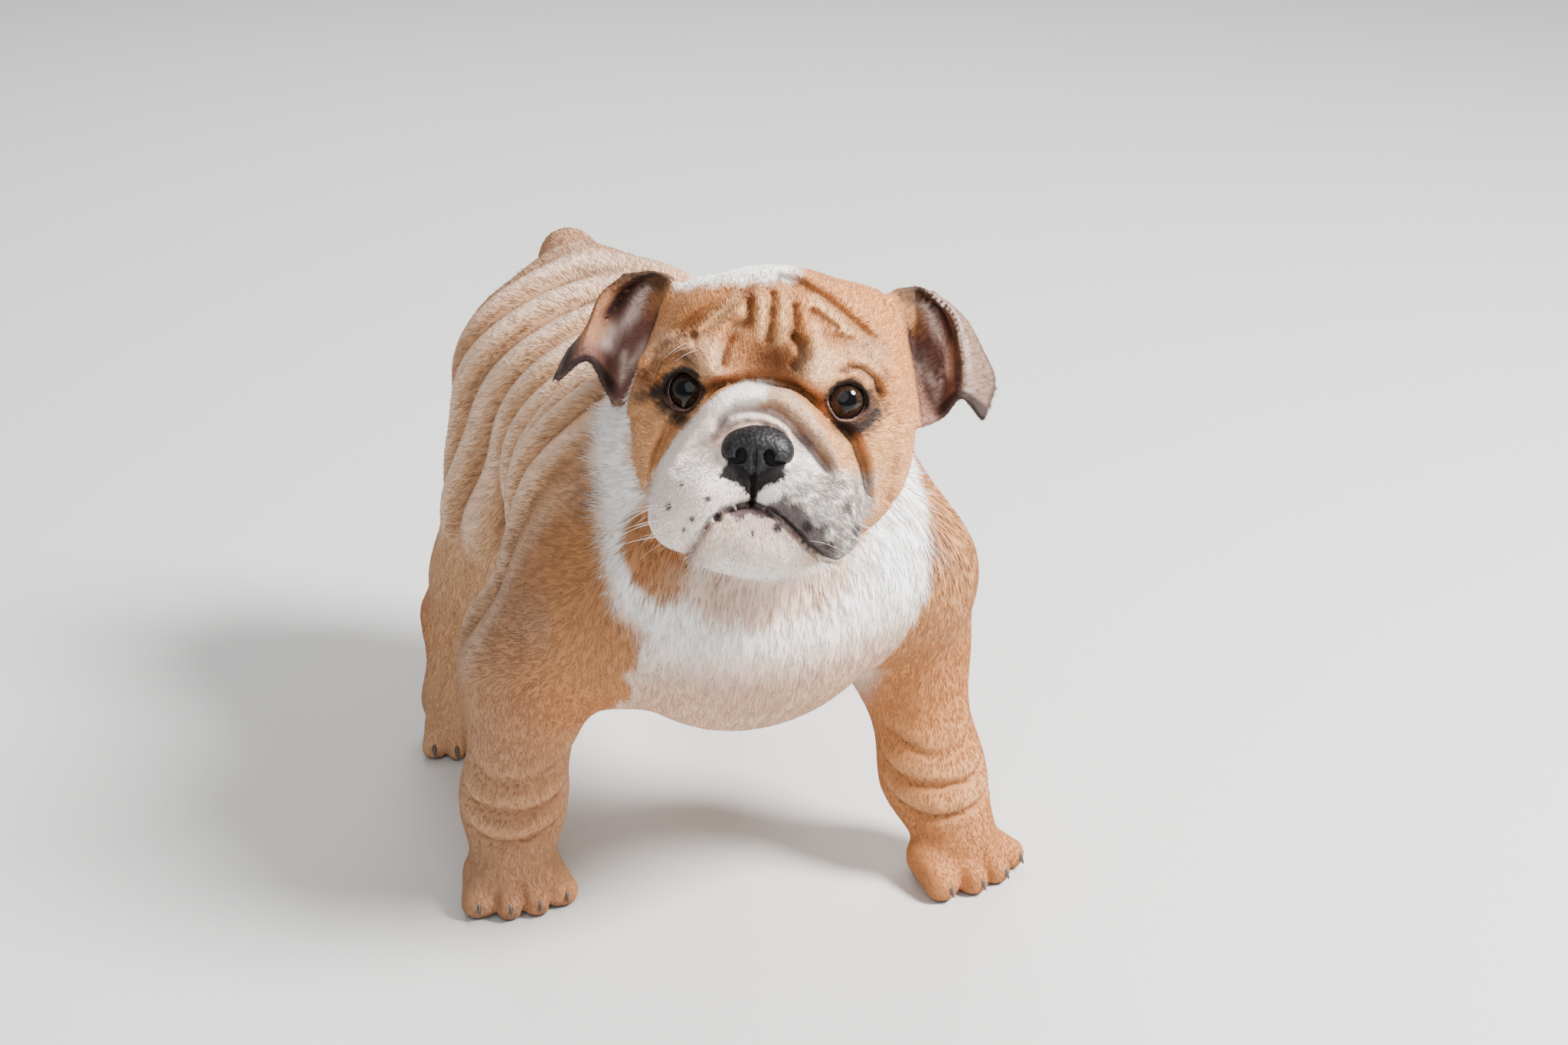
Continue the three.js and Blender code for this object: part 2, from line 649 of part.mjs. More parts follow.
const group = new THREE.Group();
group.name = "bulldog_puppy";
function addPart(name, geometry) {
  geometry.computeVertexNormals();
  const mesh = new THREE.Mesh(geometry, new THREE.MeshStandardMaterial(colourOf(name)));
  mesh.name = name;
  group.add(mesh);
}

// A crumb that an ear's slot cuts loose from the head is left out
const CRUMB = 20;
const separate = separateBodies(flesh).map((geometry) => {
  geometry.computeBoundingBox();
  const size = geometry.boundingBox.getSize(new THREE.Vector3()).length();
  return { geometry, size, middle: geometry.boundingBox.getCenter(new THREE.Vector3()) };
}).filter((body) => body.size > CRUMB);
for (const [name, place] of Object.entries(MIDDLES)) {
  const wanted = new THREE.Vector3(...place);
  separate.sort((a, b) => a.middle.distanceTo(wanted) - b.middle.distanceTo(wanted));
  addPart(name, separate.shift().geometry);
}
if (separate.length > 0) {
  const sizes = separate.map((s) => `${s.geometry.index.count / 3} at ${s.middle.toArray().map(Math.round)}`);
  throw new Error(`bodies without a name: ${sizes.join("; ")}`);
}
for (const insert of inserts) {
  const mesh = insert.body.getMesh();
  addPart(insert.name, geometryOf(mesh.vertProperties, mesh.triVerts));
}

// The origin goes to the middle of the dog's bounds on the floor
const bounds = new THREE.Box3().setFromObject(group, true);
const middle = bounds.getCenter(new THREE.Vector3());
for (const mesh of group.children) mesh.geometry.translate(-middle.x, -middle.y, -bounds.min.z);

export default group;
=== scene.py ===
"""An English bulldog puppy, life size: one skin with its folds, a coat of solid tufts and the small pieces.

Shapes are worked out in millimetres in the dog's own stance: it faces -Y, +X is its left, +Z is up, and the
origin is on the floor about midway between the front paws. Finished pieces are in metres in the part's frame.
"""

import math
from functools import partial

import bpy
import numpy as np
from mathutils import Matrix, Vector


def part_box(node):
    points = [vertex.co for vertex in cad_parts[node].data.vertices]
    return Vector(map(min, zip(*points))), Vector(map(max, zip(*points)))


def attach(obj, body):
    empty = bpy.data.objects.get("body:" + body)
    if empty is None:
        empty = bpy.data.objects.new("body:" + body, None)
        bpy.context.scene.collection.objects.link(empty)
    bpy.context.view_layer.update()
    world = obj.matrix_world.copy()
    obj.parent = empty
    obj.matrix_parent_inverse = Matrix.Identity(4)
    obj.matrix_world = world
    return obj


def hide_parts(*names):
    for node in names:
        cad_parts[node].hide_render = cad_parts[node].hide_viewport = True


bl_info = {
    "name": "Bulldog Puppy",
    "version": (1, 0, 0),
    "blender": (4, 5, 0),
    "location": "3D View > Sidebar > Bulldog",
    "description": "Skin, coat, eyes, nose, claws and whiskers of a standing bulldog puppy",
    "category": "Add Mesh",
}

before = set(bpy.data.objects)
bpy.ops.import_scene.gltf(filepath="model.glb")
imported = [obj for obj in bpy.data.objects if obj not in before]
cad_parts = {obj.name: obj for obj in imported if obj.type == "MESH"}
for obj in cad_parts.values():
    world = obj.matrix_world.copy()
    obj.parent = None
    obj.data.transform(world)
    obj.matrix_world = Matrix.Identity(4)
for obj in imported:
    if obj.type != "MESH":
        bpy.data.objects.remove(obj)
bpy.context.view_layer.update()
SIDES = (-1, 1)  # the dog's right, the dog's left
SIDE_NAMES = {-1: "right", 1: "left"}


def srgb(red, green, blue):
    """A colour of 0 to 255 in each channel as linear light: ((c / 255 + 0.055) / 1.055) to the power 2.4, but
    c / 255 / 12.92 for the darkest."""
    channels = (red, green, blue)
    return tuple(((c / 255 + 0.055) / 1.055) ** 2.4 if c > 10 else c / 255 / 12.92 for c in channels)


# The head's pose and the sizes that the field needs
HEAD_YAW, HEAD_PITCH, HEAD_ROLL = -31, 19, 1
EYES_MIDDLE = np.array([-8.8, -59.6, 272.2])
EYE_SPACING, EYE_SETBACK, EYE_RADIUS = 32.8, 12.0, 11.5
NOSE_PLACE = np.array([2, 22, -22.0])
NOSE_SIZE = np.array([13.5, 12.0, 9.5])  # half sizes of the black skin round the nose
LIDS_SPACING = 37.5  # middle of each eye's opening, which faces a little outward
TRACED_ROLL = 4  # the tilt at which the face's folds and marks were measured


def turned(yaw, pitch, roll):
    """Axes of a turned head as columns left, back and up: a turn about Z, then about X, then about Y."""
    y, p, r = np.radians([yaw, pitch, roll])
    about_z = np.array([[np.cos(y), -np.sin(y), 0], [np.sin(y), np.cos(y), 0], [0, 0, 1]])
    about_x = np.array([[1, 0, 0], [0, np.cos(p), np.sin(p)], [0, -np.sin(p), np.cos(p)]])
    about_y = np.array([[np.cos(r), 0, np.sin(r)], [0, 1, 0], [-np.sin(r), 0, np.cos(r)]])
    return about_z @ about_x @ about_y


HEAD_AXES = turned(HEAD_YAW, HEAD_PITCH, HEAD_ROLL)
TRACED_AXES = turned(HEAD_YAW, HEAD_PITCH, TRACED_ROLL)


def on_head(left, forward, up):
    """The stance point at a distance left, forward and up from the point between the eyes."""
    return EYES_MIDDLE + HEAD_AXES @ np.array([left, -forward, up], float)


def head_place(p):
    """Left, forward and up of each point, measured on the head."""
    q = (p - EYES_MIDDLE) @ HEAD_AXES
    return q[:, 0], -q[:, 1], q[:, 2]


def smooth(low, high, x):
    """0 below low, 1 above high, 3t^2 - 2t^3 between; high below low turns it round."""
    t = np.clip((x - low) / (high - low), 0, 1)
    return t * t * (3 - 2 * t)


def blended(a, b, width):
    """The smaller of two distances, rounded over a width: min(a, b) - h^2 width / 4, where h is
    (width - |a - b|) / width and not below nought."""
    h = np.maximum(width - np.abs(a - b), 0) / width
    return np.minimum(a, b) - h * h * width * 0.25


def unit(v):
    """Each row over its length."""
    return v / np.maximum(np.linalg.norm(v, axis=-1, keepdims=True), 1e-9)


# Shapes: each gives a distance, below nought inside, and a width over which it blends with what is there
def limb(start, end, radius_start, radius_end, blend):
    """Distance to a tapered rod: distance to the nearest point of its line, less the radius there."""
    a = np.asarray(start, float)
    along = np.asarray(end, float) - a

    def distance(p):
        q = p - a
        t = np.clip(q @ along / (along @ along), 0, 1)
        q = q - t[:, None] * along
        return np.sqrt((q * q).sum(1)) - radius_start - (radius_end - radius_start) * t

    return distance, blend


def ellipsoid(centre, radii, blend, axes=None):
    """Near an ellipsoid the distance is k (k - 1) / g: k = |q / r|, g = |q / r^2|, q from the centre."""
    c = np.asarray(centre, float)
    r = np.asarray(radii, float)

    def distance(p):
        q = (p - c) if axes is None else (p - c) @ axes
        k = np.sqrt(((q / r) ** 2).sum(1))
        g = np.sqrt(((q / (r * r)) ** 2).sum(1))
        return k * (k - 1) / np.maximum(g, 1e-9)

    return distance, blend


# The trunk is a tube along Y: at each station its y, middle, top, bottom and half width
TRUNK = np.array(
    [
        (-34, -8, 228, 114, 58),
        (0, -2, 244, 106, 76),
        (50, 0, 250, 103, 80),
        (100, 3, 249, 105, 77),
        (150, 6, 252, 117, 71),
        (195, 8, 256, 136, 64),
        (222, 9, 252, 152, 56),
    ],
    float,
)


def trunk_sizes(y):
    """The trunk's middle, top, bottom and half width at each y, by a cubic between stations."""
    stations = TRUNK[:, 0]
    i = np.clip(np.searchsorted(stations, y) - 1, 0, len(stations) - 2)
    step = stations[i + 1] - stations[i]
    t = (y - stations[i]) / step
    sizes = []
    for column in TRUNK.T[1:]:
        slope = np.gradient(column, stations)
        stay = 2 * t**3 - 3 * t**2 + 1
        leave, arrive = (t**3 - 2 * t**2 + t) * step, (t**3 - t**2) * step
        sizes.append(stay * column[i] + leave * slope[i] + (1 - stay) * column[i + 1] + arrive * slope[i + 1])
    return sizes


def trunk_distance(p):
    """Distance to the tube: (round - 1) times its smaller half size, and the reach beyond its ends."""
    y = np.clip(p[:, 1], TRUNK[0, 0], TRUNK[-1, 0])
    middle, top, bottom, half = trunk_sizes(y)
    high = (top - bottom) / 2
    round_ = np.hypot((p[:, 0] - middle) / half, (p[:, 2] - (top + bottom) / 2) / high)
    around = (round_ - 1) * np.minimum(half, high)
    beyond = np.abs(p[:, 1] - y)
    return np.where(beyond > 0, np.hypot(np.maximum(around, 0), beyond), around)


PAW_SIZES = {"fore": 31.0, "hind": 25.0}
TOES = ((-1.5, 0.46), (-0.5, 0.64), (0.5, 0.64), (1.5, 0.46))  # sideways and reach of each toe
TOE_BLEND = 0.22
CLEFTS = (-0.42, 0.0, 0.42)  # sideways place of each cleft between toes
PAWS = {  # x, y, turn outward, size, spread
    "fore_right": (-101, 34, -6, PAW_SIZES["fore"], 1.0),
    "fore_left": (104, -28, 20, PAW_SIZES["fore"], 1.15),
    "hind_right": (-77, 200, -8, PAW_SIZES["hind"], 1.0),
    "hind_left": (77, 200, 8, PAW_SIZES["hind"], 1.0),
}


def on_paw(paw, side, forward, up):
    """A place on a paw, in units of the paw: sideways, forward and up."""
    x, y, turn, size, _ = paw
    a = math.radians(turn)
    across = side * math.cos(a) + forward * math.sin(a)
    back = side * math.sin(a) - forward * math.cos(a)
    return np.array([x + across * size, y + back * size, up * size])


def body_shapes():
    """The trunk, the neck, the legs, the tail and the paws."""
    shapes = [
        (trunk_distance, 1),
        ellipsoid((-2, -34, 160), (64, 40, 52), 36),  # front of the chest
        ellipsoid((8, 220, 202), (54, 36, 46), 30),  # end of the rump
        ellipsoid((12, 42, 208), (70, 44, 46), 30),  # withers
        limb((6, 30, 215), (2, -6, 242), 52, 46, 34),  # neck
        limb((-44, 42, 192), (-66, 12, 150), 38, 33, 36),  # right shoulder
        limb((-66, 12, 150), (-88, 38, 120), 33, 29, 30),
        limb((56, 24, 212), (76, -16, 160), 35, 33, 32),  # left shoulder
        limb((76, -16, 158), (90, 4, 118), 32, 28, 30),
        limb((-88, 38, 118), (-97, 42, 50), 29, 23.5, 24),  # forearms
        limb((90, 4, 118), (99, -12, 50), 28, 23.5, 22),
        limb((-97, 42, 50), (-101, 34, 20), 24, 20, 14),  # wrists
        limb((99, -12, 50), (105, -28, 20), 24, 20, 14),
    ]
    for s in SIDES:
        shapes += [
            limb((s * 30 + 8, 210, 192), (s * 50 + 8, 192, 135), 42, 35, 36),  # thigh
            limb((s * 52 + 8, 184, 140), (s * 64 + 5, 206, 95), 34, 25, 26),  # knee
            limb((s * 64 + 5, 206, 95), (s * 70 + 2, 228, 64), 25, 18, 20),  # hock
            limb((s * 70 + 2, 228, 62), (s * 75, 214, 24), 17, 16.5, 16),  # hind foot
            limb((s * 75, 214, 18), (s * 77, 196, 14), 16, 14, 12),
        ]
    shapes += [
        limb((4, 226, 238), (8, 250, 247), 24, 15, 18),  # tail
        limb((8, 250, 247), (4, 266, 236), 15, 9, 10),
    ]
    for paw in PAWS.values():
        u, spread = paw[3], paw[4]
        shapes.append(ellipsoid(on_paw(paw, 0, -0.15, 0.2), (u * 0.62, u * 0.55, u * 0.34), u * 0.3))
        for side, reach in TOES:
            knuckle = on_paw(paw, side * 0.3 * spread, -0.1, 0.42)
            tip = on_paw(paw, side * 0.44 * spread, reach, 0.22)
            shapes.append(limb(knuckle, tip, u * 0.32, u * 0.26, u * TOE_BLEND))
    return shapes


def head_shapes():
    """The skull, the brows, the cheeks, the muzzle, the hanging lips, the chin and the throat."""

    def ball(left, forward, up, radii, blend):
        return ellipsoid(on_head(left, forward, up), radii, blend, HEAD_AXES)

    def rod(start, end, radius_start, radius_end, blend):
        return limb(on_head(*start), on_head(*end), radius_start, radius_end, blend)

    shapes = [ball(0, -46, 8, (57, 46, 50), 24), ball(0, -18, 28, (42, 20, 26), 22)]
    for s in SIDES:
        shapes += [
            ball(s * 38, -46, 30, (14, 17, 18), 18),  # below the ear
            ball(s * 39, -32, -18, (25, 29, 38), 18),  # cheek
            rod((s * 49, -18, 9), (s * 20, -7, 17), 8, 10, 12),  # brow
            rod((s * 50, -18, -15), (s * 34, -8, -15), 9, 9.5, 12),  # under the eye
            rod((s * 14, 15, -38), (s * 32, 7, -55), 15.5, 13.5, 9),  # hanging upper lip
            rod((s * 12, 7, -6), (s * 35, 0, -34), 12, 12.5, 10),  # side of the muzzle
        ]
    shapes += [
        ball(0, 8, -18, (24, 20, 20), 10),  # top of the muzzle
        rod((-13, 11, -62), (13, 11, -62), 13.5, 13.5, 9),  # chin
        rod((0, -16, -48), (0, -60, -56), 27, 38, 26),  # throat
    ]
    return shapes


BODY, HEAD = body_shapes(), head_shapes()
SOCKETS = [ellipsoid(on_head(s * LIDS_SPACING, 3, 0), (12, 8.5, 9), 0, HEAD_AXES)[0] for s in SIDES]
HEAD_BLEND, SOCKET_BLEND = 14, 5


def joined(shapes, p):
    """All the shapes' distances, blended one after another."""
    d = shapes[0][0](p)
    for distance, blend in shapes[1:]:
        d = blended(d, distance(p), blend)
    return d


# The ears: five rows of places from the top fold to the lobe, each from the front edge round to the tip
EAR_ROWS = {
    1: [
        [(47, -36, 44), (51, -44, 49), (57, -50, 51), (62, -50, 50), (66, -52, 49)],
        [(49, -36, 36), (57, -54, 41), (67, -60, 44), (74, -49, 41), (79, -56, 39)],
        [(52, -36, 26), (58, -60, 27), (71, -67, 29), (79, -48, 27), (88, -58, 25)],
        [(56, -36, 12), (61, -58, 11), (72, -66, 12), (81, -47, 14), (94, -56, 12)],
        [(61, -38, -7), (65, -46, -8), (73, -52, -4), (81, -47, 5), (91, -50, -4)],
    ],
    -1: [
        [(47, -36, 44), (53, -44, 49), (61, -50, 51), (69, -50, 50), (74, -52, 49)],
        [(49, -36, 36), (59, -54, 41), (71, -60, 44), (81, -49, 41), (84, -57, 39)],
        [(52, -36, 26), (60, -60, 27), (75, -67, 29), (86, -48, 27), (90, -59, 25)],
        [(56, -36, 12), (63, -58, 11), (76, -66, 12), (88, -46, 17), (98, -55, 13)],
        [(61, -38, -7), (67, -46, -8), (77, -52, -4), (87, -46, 11), (102, -47, 0)],
    ],
}
EAR_BAND = {-1: 0.93, 1: 0.74}  # share of the way along the rows where the flap's dark band lies
EAR_GRID = 25
EAR_SPARE = 0.9  # added to the ears' half thickness in the first coarse net, so that it has no holes
EAR_REACH = 52.0  # points further than this from the ear's middle are far outside it
EAR_CHUNK = 4000  # points looked up at a time


def through(controls, count):
    """Rows between control rows a, b, c and d by a Catmull-Rom curve: half of
    2b + (c - a)t + (2a - 5b + 4c - d)t^2 + (3b - a - 3c + d)t^3."""
    place = np.linspace(0, len(controls) - 1, count)
    i = np.minimum(place.astype(int), len(controls) - 2)
    t = (place - i).reshape((-1,) + (1,) * (controls.ndim - 1))
    ends = np.concatenate([2 * controls[:1] - controls[1:2], controls, 2 * controls[-1:] - controls[-2:-1]])
    a, b, c, d = ends[i], ends[i + 1], ends[i + 2], ends[i + 3]
    return 0.5 * (2 * b + (c - a) * t + (2 * a - 5 * b + 4 * c - d) * t**2 + (3 * b - a - 3 * c + d) * t**3)


def ear_sheet(side):
    """The ear's middle sheet as a grid of points, its slopes down the rows and along them, and its normal."""
    rows = through(np.array(EAR_ROWS[side], float), EAR_GRID)
    grid = through(rows.transpose(1, 0, 2), EAR_GRID).transpose(1, 0, 2) * np.array([side, 1, 1])
    points = EYES_MIDDLE + np.stack([grid[..., 0], -grid[..., 1], grid[..., 2]], -1) @ HEAD_AXES.T
    down, along = np.gradient(points, axis=0), np.gradient(points, axis=1)
    normal = unit(np.cross(along, down)) * side
    return points, down, along, normal


EARS = {side: ear_sheet(side) for side in SIDES}


def near_ear(p, side):
    """The numbers of the points that are close enough to an ear to lie on it."""
    middle = EARS[side][0][EAR_GRID // 2, EAR_GRID // 2]
    return np.flatnonzero(((p - middle) ** 2).sum(1) < EAR_REACH**2)


def ear_place(p, side):
    """Where each point lies on an ear: distance to its sheet, share of the way down, share of the way along
    the rows, and height over the sheet's outer face: one step on the slopes from the nearest grid point."""
    points, down, along, normal = EARS[side]
    flat = points.reshape(-1, 3)
    near = np.empty(len(p), int)
    for s in range(0, len(p), EAR_CHUNK):
        q = p[s : s + EAR_CHUNK]
        near[s : s + EAR_CHUNK] = ((flat * flat).sum(1) - 2 * q @ flat.T).argmin(1)
    i, j = near // EAR_GRID, near % EAR_GRID
    q = p - flat[near]
    u, v = down[i, j], along[i, j]
    uu, uv, vv = (u * u).sum(1), (u * v).sum(1), (v * v).sum(1)
    qu, qv = (q * u).sum(1), (q * v).sum(1)
    det = np.maximum(uu * vv - uv * uv, 1e-9)
    a = np.clip((qu * vv - qv * uv) / det, np.where(i > 0, -1, 0), np.where(i < EAR_GRID - 1, 1, 0))
    b = np.clip((qv * uu - qu * uv) / det, np.where(j > 0, -1, 0), np.where(j < EAR_GRID - 1, 1, 0))
    q = q - a[:, None] * u - b[:, None] * v
    height = (q * normal[i, j]).sum(1)
    return np.sqrt((q * q).sum(1)), (i + a) / (EAR_GRID - 1), (j + b) / (EAR_GRID - 1), height


# Marks in the ear: lines by their shares down and along it, and half widths
EAR_RIDGE = ([(0.2, 0.36), (0.4, 0.43), (0.58, 0.57), (0.7, 0.6)], 0.06)
EAR_LOBES = [([(0.62, 0.25), (0.8, 0.38)], 0.06), ([(0.74, 0.48), (0.88, 0.42)], 0.05)]
# the hollows: the ear is thinner there, and darker with painted shade
EAR_HOLLOWS = [
    ([(0.1, 0.5), (0.28, 0.57), (0.42, 0.64)], 0.075),
    ([(0.42, 0.14), (0.52, 0.14), (0.6, 0.2)], 0.085),
]


def ear_marks(down, along):
    """How much each place lies on the ear's ridge and small lobes, and how much in its hollows."""
    ridge = beside(down, along, *EAR_RIDGE)
    for line, half in EAR_LOBES:
        ridge = np.maximum(ridge, 0.7 * beside(down, along, line, half))
    hollow = np.zeros(len(down))
    for line, half in EAR_HOLLOWS:
        hollow = np.maximum(hollow, beside(down, along, line, half))
    return ridge, hollow


def ear_half(down, along, height):
    """Half the ear's thickness: thick at its root, thin at its rim, uneven inside by ridge and hollows."""
    ridge, hollow = ear_marks(down, along)
    inner = smooth(0.3, -0.3, height)
    rim = 0.5 * np.exp(-(((along - 0.72) / 0.04) ** 2))
    return 2.3 - 1.0 * smooth(0, 0.5, along) + inner * (2.0 * ridge - 0.7 * hollow + rim)


# The face's folds, traced as seen from in front: across and up from between the eyes
VIEW_SHIFT, VIEW_LIFT, VIEW_DISTANCE = 162.4, 22.9, 1170.0


def seen_place(p):
    """Across and up of each point as it is seen from in front of the face, on the plane of the eyes."""
    q = (p - EYES_MIDDLE) @ TRACED_AXES
    left, forward, up = q[:, 0], -q[:, 1], q[:, 2]
    nearness = 1 - forward / VIEW_DISTANCE
    across = (left - VIEW_SHIFT * forward / VIEW_DISTANCE) / nearness
    high = (up - VIEW_LIFT * forward / VIEW_DISTANCE) / nearness
    return across, high, forward


def along_line(x, y, line):
    """Distance in the plane to a broken line, the least over its pieces, and the share of the way along."""
    line = np.asarray(line, float)
    best, share = np.full(len(x), 1e9), np.zeros(len(x))
    for k in range(len(line) - 1):
        a, d = line[k], line[k + 1] - line[k]
        t = np.clip(((x - a[0]) * d[0] + (y - a[1]) * d[1]) / (d @ d), 0, 1)
        reach = np.hypot(x - a[0] - t * d[0], y - a[1] - t * d[1])
        closer = reach < best
        best = np.where(closer, reach, best)
        share = np.where(closer, (k + t) / (len(line) - 1), share)
    return best, share


def line_distance(x, y, line):
    """Distance in the plane to a broken line."""
    return along_line(x, y, line)[0]


def beside(x, y, line, half):
    """1 on a broken line and exp(-(distance / half)^2) beside it."""
    return np.exp(-((line_distance(x, y, line) / half) ** 2))


NOSE_ROLL_EDGE = [
    (-48, -52), (-44, -43), (-42.6, -31.4), (-40.2, -20.7), (-34.8, -12.1), (-27.8, -4.1), (-20.5, 1.6),
    (-7.8, 5.9), (2.8, 6), (12.1, 5.1), (19, 2), (26.1, -2.4), (33.4, -9.3), (40.7, -15), (44.9, -23.6),
    (47.3, -32.4), (50.1, -39.9),
]
NOSE_ROLL = [
    (-41, -48), (-35, -32), (-30, -20), (-23, -9), (-14, -1.5), (-5, 0.8), (3, 0.8), (11, -1.5), (19, -6.5),
    (27, -14), (34, -22), (40, -33), (44, -43),
]
INNER_ROLL_EDGE = [
    (-24.3, -24.1), (-18.4, -19.1), (-17.4, -13.7), (-15.1, -10), (-11.1, -7.5), (-4.9, -5.9), (2.6, -5.8),
    (8.2, -7.5), (12.7, -10.2), (15.9, -14), (22.3, -18.6), (29.6, -26.2), (33.3, -31),
]
NOSE_EDGE = [(-17.8, -21.9), (-13.1, -16.1), (-6.9, -12.8), (-0.4, -11.8), (6.3, -13.2), (12.7, -17)]
MOUTH = [
    (-27, -77), (-25.1, -74), (-22.9, -69.8), (-20.4, -62.9), (-17.1, -56.6), (-11.7, -51.3), (-4.2, -47.8),
    (0.2, -46.6), (6.4, -47.8), (13.4, -51.6), (19.2, -56.1), (25.1, -61.2), (32.2, -65.6), (38.4, -68.1),
    (43, -70),
]
PHILTRUM = [(-1.3, -31.7), (-0.4, -39.5), (0.2, -46.6)]
ARCH = [
    (-44.8, 16.8), (-36.5, 25.6), (-29.3, 32.3), (-19.7, 40.5), (-9.8, 46.8), (0.3, 50.2), (9.6, 49),
    (22.1, 43.2), (36.2, 33.8), (49, 24.9),
]
FOLDS = [  # line, half width, height: below nought is a crease
    (NOSE_ROLL_EDGE, 3.0, -6.0),
    (NOSE_ROLL, 5.6, 4.8),
    (INNER_ROLL_EDGE, 2.3, -3.4),
    (NOSE_EDGE, 1.5, -2.0),
    (MOUTH, 1.5, -5.5),
    (PHILTRUM, 0.9, -2.0),
    ([(-20.2, 8.5), (-19.6, 19.7), (-15.5, 27.3), (-10.1, 31.8), (-11.3, 42.1)], 2.6, -5.4),
    ([(8.3, 28), (13.6, 24), (14.6, 18.4), (11, 12)], 2.6, -5.4),
    ([(-1.8, 45.1), (-1.1, 33.5), (-0.8, 22)], 2.4, -2.9),
    ([(7.9, 41), (9.8, 30.8), (9.2, 24.3)], 2.4, -3.1),
    ([(14.8, 38.5), (20.3, 35.9), (28.7, 31)], 2.4, -3.2),
    (ARCH, 2.8, -3.8),
    ([(-30.8, 22.3), (-23.8, 30.9), (-16.8, 38.2), (-9.4, 42.9)], 2.6, -3.0),
    ([(-53.5, 0.1), (-48.3, 12.5), (-39.9, 20.6), (-30.8, 22.3)], 2.6, -3.4),
    ([(22.5, 28.4), (34.4, 27.1), (44.2, 21.8), (51.6, 13.6)], 2.6, -3.4),
    ([(31, 12.2), (34.5, 16.5), (41, 16.6), (46.7, 12.7), (49.7, 6.4)], 1.6, -3.0),
    ([(-47.6, -1.7), (-44.7, 8.8), (-37.6, 13.4), (-32.4, 11.3)], 1.6, -3.0),
    ([(-58.5, -14.9), (-52.5, -32.6), (-49.4, -48)], 3.6, -2.8),
    ([(57.3, -1.3), (57.8, -16.8), (56.8, -30), (56.7, -40.4)], 3.6, -2.8),
    ([(9.6, -75.6), (12, -70)], 2.0, -1.6),
    ([(-18, -19), (-24.3, -24.1), (-30.2, -29.1), (-36.7, -38.4)], 2.8, -1.8),
    ([(-53.6, 4.5), (-48, 12.6), (-41, 18.1), (-33.7, 20.5)], 3.6, 2.6),
    ([(33, 25), (42.9, 22.9), (50, 16.4), (54, 6)], 3.6, 2.6),
]
BULGES = [  # across, up, radius, height
    (-26.5, 12.5, 9.5, 6.0),
    (22.3, 14.5, 10, 6.0),
    (-14, 37, 5, 1.8),
    (-5.2, 40, 3.6, 1.2),
    (-5.2, 32, 3.6, 1.4),
    (4, 40, 3.4, 1.2),
    (4.2, 31, 3.4, 1.4),
    (20, 27, 6, 2.0),
    (-28, -50, 14, 5.6),
    (33, -47, 14, 5.6),
    (2, -63, 12, 2.5),
    (0, 14, 9, -3.4),
    (-38, 17, 8, 1.5),
    (37, 20, 8, 1.5),
    (-46, -10, 10, 2.0),
    (48, -12, 10, 2.0),
]


FOREHEAD_FOLDS = slice(6, 15)  # those of FOLDS that lie on the forehead, whose creases get painted shade


def face_relief(p):
    """Height added to the face: a fold's height times exp(-(distance / half width)^2), less at its ends, of
    creases only the deepest, and a bulge's height times exp(-(distance / radius)^2.6)."""
    across, high, forward = seen_place(p)
    ridge, crease = np.zeros(len(p)), np.zeros(len(p))
    for line, half, tall in FOLDS:
        reach, share = along_line(across, high, line)
        here = tall * np.exp(-((reach / half) ** 2))
        here = here * smooth(0, 0.12, share + 0.03) * smooth(1, 0.88, share - 0.03)
        if tall > 0:
            ridge = ridge + here
        else:
            crease = np.minimum(crease, here)
    for x, y, radius, tall in BULGES:
        ridge += tall * np.exp(-((np.hypot(across - x, high - y) / radius) ** 2.6))
    return (ridge + crease) * smooth(-48, -30, forward)


# The trunk's skin folds, which run round it like hoops, and the wrists' creases
HOOP = 27.0
HOOP_HEIGHT = 9.0
LEFT_HOOPS = 0.45  # height of the hoops on the dog's left, the outer side of its turn, against the right
WRIST_AXES = {-1: (-98.0, 41.0), 1: (100.0, -14.0)}  # x and y of each wrist's middle
WRIST_FOLDS = ((52, 0.9), (37.5, 1.0), (68, 0.5))  # height at the front and depth of each crease


def wrist_folds(p):
    """How much each place lies in the wrists' creases, and how much on the soft rolls over them: each crease
    runs round the front of a foreleg and rises toward its sides by the square of the turn."""
    crease, roll = np.zeros(len(p)), np.zeros(len(p))
    for middle_x, middle_y in WRIST_AXES.values():
        dx, dy = p[:, 0] - middle_x, middle_y - p[:, 1]
        around = np.arctan2(dx, dy) + 0.3
        near = smooth(55, 40, np.hypot(dx, dy))
        for height, share in WRIST_FOLDS:
            fold = p[:, 2] - height - 5.0 * np.minimum(around**2, 2.2) - 0.8 * np.sin(3 * around + height)
            here = share * near * smooth(1.7, 0.9, np.abs(around))
            crease = np.maximum(crease, here * np.exp(-((fold / 2.2) ** 2)))
            roll = np.maximum(roll, here * np.exp(-(((fold - 6) / 4.5) ** 2)))
    return crease, roll


def hoop_phase(p):
    """How many hoops lie between a point and the trunk's front: along Y, leaning back toward the belly."""
    sway = 2.2 * np.sin(p[:, 2] / 31 + p[:, 0] / 47) + 1.5 * np.sin(p[:, 2] / 13 + 1.7)
    return (p[:, 1] + 0.32 * (p[:, 2] - 190) + sway) / HOOP


def hoop_ridge(p):
    """The hoops' section, the root of sin^2, which makes round ridges with narrow valleys between them."""
    return np.sqrt(np.sin(np.pi * hoop_phase(p)) ** 2 + 0.03)


